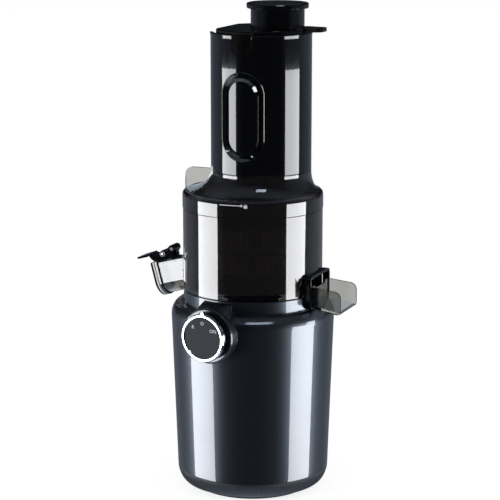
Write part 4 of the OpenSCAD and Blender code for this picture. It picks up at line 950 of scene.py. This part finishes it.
# %% [markdown]
# ## Eyelets of the cap's lever
#
# The lever's round hole is lined with a steel eyelet that holds a polished pin. Each side shows a turned
# ring with a rounded face and the pin's domed end.

# %% Eyelets
EYE_RISE = 0.0062
EYE_OUT, EYE_UP, LEVER_HALF = 0.0194, SPOUT_TOP + EYE_RISE, 0.0064
EYE_RING = [(0.0013, 0.0), (0.0014, 0.0002), (0.0018, 0.00035), (0.0025, 0.00035), (0.0029, 0.0002),
            (0.0030, 0.0)]
EYE_DOME = [(0.0, 0.00045), (0.0006, 0.0004), (0.0011, 0.00022), (0.0013, 0.0)]


def beside_spout(out, up, side):
    """A point given along the spout, across its slope and to the side."""
    return SPOUT_FOOT + Vector(SPOUT_OUT) * out + Vector(SPOUT_UP) * up + Vector((0, side, 0))


for side, way in (("front", -1), ("back", 1)):
    def on_lever(x, y, h):
        return beside_spout(EYE_OUT + x, EYE_UP + y * way, way * (LEVER_HALF + h))

    for name, profile, chosen in (("eyelet", EYE_RING, "dark_steel"), ("eye_pin", EYE_DOME, "chrome")):
        piece(f"{name}_{side}", turned_face(name, profile, on_lever), "cap_set", finishes[chosen])
print("eyelets at", [round(v, 4) for v in beside_spout(EYE_OUT, EYE_UP, 0)])

# %% [markdown]
# ## Ribs round the foot of the base
#
# The rounded bottom of the base has fine upright ribs that hide scratches and give the hand a hold. One
# rib is drawn along the rounding, a quarter of an ellipse, and both its ends are let into the wall.

# %% One rib
RIB_HALF = 0.00034
RIB_PROUD = 0.00022
ROUND_R, ROUND_H = 0.009, 0.018
BASE_LOW_R = 0.0682
ROUND_AXIS_R = BASE_LOW_R - ROUND_R
ROUND_TOP_Z = 0.0222
RIB_FROM, RIB_TO, RIB_STEPS = 12.0, 80.0, 10


def one_rib():
    """A rib along the rounding in the X-Z plane, with five points round each section."""
    made = bmesh.new()
    rings = []
    side = Vector((0, RIB_HALF, 0))
    for k in range(RIB_STEPS + 1):
        a = math.radians(RIB_FROM + (RIB_TO - RIB_FROM) * k / RIB_STEPS)
        proud = RIB_PROUD if 0 < k < RIB_STEPS else -RIB_PROUD / 2
        out = Vector((ROUND_H * math.cos(a), 0, -ROUND_R * math.sin(a))).normalized()
        wall = Vector((ROUND_AXIS_R + ROUND_R * math.cos(a), 0, ROUND_TOP_Z - ROUND_H * math.sin(a)))
        foot, flank, crest = wall - out * RIB_PROUD, wall + out * proud * 0.5, wall + out * proud
        section = (foot - side, flank - side, crest, flank + side, foot + side)
        rings.append([made.verts.new(p) for p in section])
    for low_ring, high_ring in zip(rings, rings[1:]):
        for i in range(len(low_ring)):
            j = (i + 1) % len(low_ring)
            made.faces.new((low_ring[i], low_ring[j], high_ring[j], high_ring[i]))
    made.faces.new(rings[0][::-1])
    made.faces.new(rings[-1])
    bmesh.ops.recalc_face_normals(made, faces=made.faces)
    mesh = bpy.data.meshes.new("one_rib")
    made.to_mesh(mesh)
    made.free()
    return bpy.data.objects.new("one_rib", mesh)


print("rib", RIB_PROUD, "m proud, in", RIB_STEPS, "steps")

# %% [markdown]
# Geometry Nodes set the copies in a ring, so that their number is one value. The tree makes as many
# points as copies, puts a rib on each and turns it by its share of a full turn.

# %% Ring of copies
def ring_tree(material):
    """Geometry Nodes that set Count copies of an object in a ring round Z."""
    tree = bpy.data.node_groups.new("ring_of_copies", "GeometryNodeTree")
    tree.interface.new_socket("Geometry", in_out="INPUT", socket_type="NodeSocketGeometry")
    tree.interface.new_socket("Copy", in_out="INPUT", socket_type="NodeSocketObject")
    tree.interface.new_socket("Count", in_out="INPUT", socket_type="NodeSocketInt")
    tree.interface.new_socket("Geometry", in_out="OUTPUT", socket_type="NodeSocketGeometry")
    gi, go = add(tree, "NodeGroupInput"), add(tree, "NodeGroupOutput")
    points = add(tree, "GeometryNodePoints")
    join(tree, gi.outputs["Count"], points.inputs["Count"])
    source = add(tree, "GeometryNodeObjectInfo")
    join(tree, gi.outputs["Copy"], source.inputs["Object"])
    index = add(tree, "GeometryNodeInputIndex").outputs[0]
    turn = maths(tree, "DIVIDE", maths(tree, "MULTIPLY", index, math.tau), gi.outputs["Count"])
    angles = add(tree, "ShaderNodeCombineXYZ")
    join(tree, turn, angles.inputs["Z"])
    spread = add(tree, "GeometryNodeInstanceOnPoints")
    join(tree, points.outputs[0], spread.inputs["Points"])
    join(tree, source.outputs["Geometry"], spread.inputs["Instance"])
    join(tree, angles.outputs[0], spread.inputs["Rotation"])
    real = add(tree, "GeometryNodeRealizeInstances")
    join(tree, spread.outputs[0], real.inputs[0])
    dress = add(tree, "GeometryNodeSetMaterial")
    dress.inputs["Material"].default_value = material
    join(tree, real.outputs[0], dress.inputs["Geometry"])
    join(tree, dress.outputs[0], go.inputs[0])
    return tree


def ring_of(name, copy, count, material):
    """A plain mesh of count copies round Z, made by the tree above."""
    tree = ring_tree(material)
    holder = bpy.data.objects.new(name, bpy.data.meshes.new(name))
    bpy.context.scene.collection.objects.link(holder)
    bpy.context.scene.collection.objects.link(copy)
    made = holder.modifiers.new("ring", "NODES")
    made.node_group = tree
    for socket in tree.interface.items_tree:
        if socket.in_out == "INPUT" and socket.name == "Copy":
            made[socket.identifier] = copy
        if socket.in_out == "INPUT" and socket.name == "Count":
            made[socket.identifier] = count
    bpy.context.view_layer.update()
    seen = holder.evaluated_get(bpy.context.evaluated_depsgraph_get())
    mesh = bpy.data.meshes.new_from_object(seen)
    bpy.data.objects.remove(holder)
    bpy.data.objects.remove(copy)
    return mesh


print("ring helper ready")

# %% [markdown]
# The ribs are matt where the base is glossy, and ride on the base.

# %% Ribs of the base
RIB_COUNT = 288
ribs = ring_of("grip_ribs", one_rib(), RIB_COUNT, finishes["slate_matte"])
piece("grip_ribs", ribs, "base", finishes["slate_matte"])
print("ribs", RIB_COUNT, "with", len(ribs.polygons), "faces")
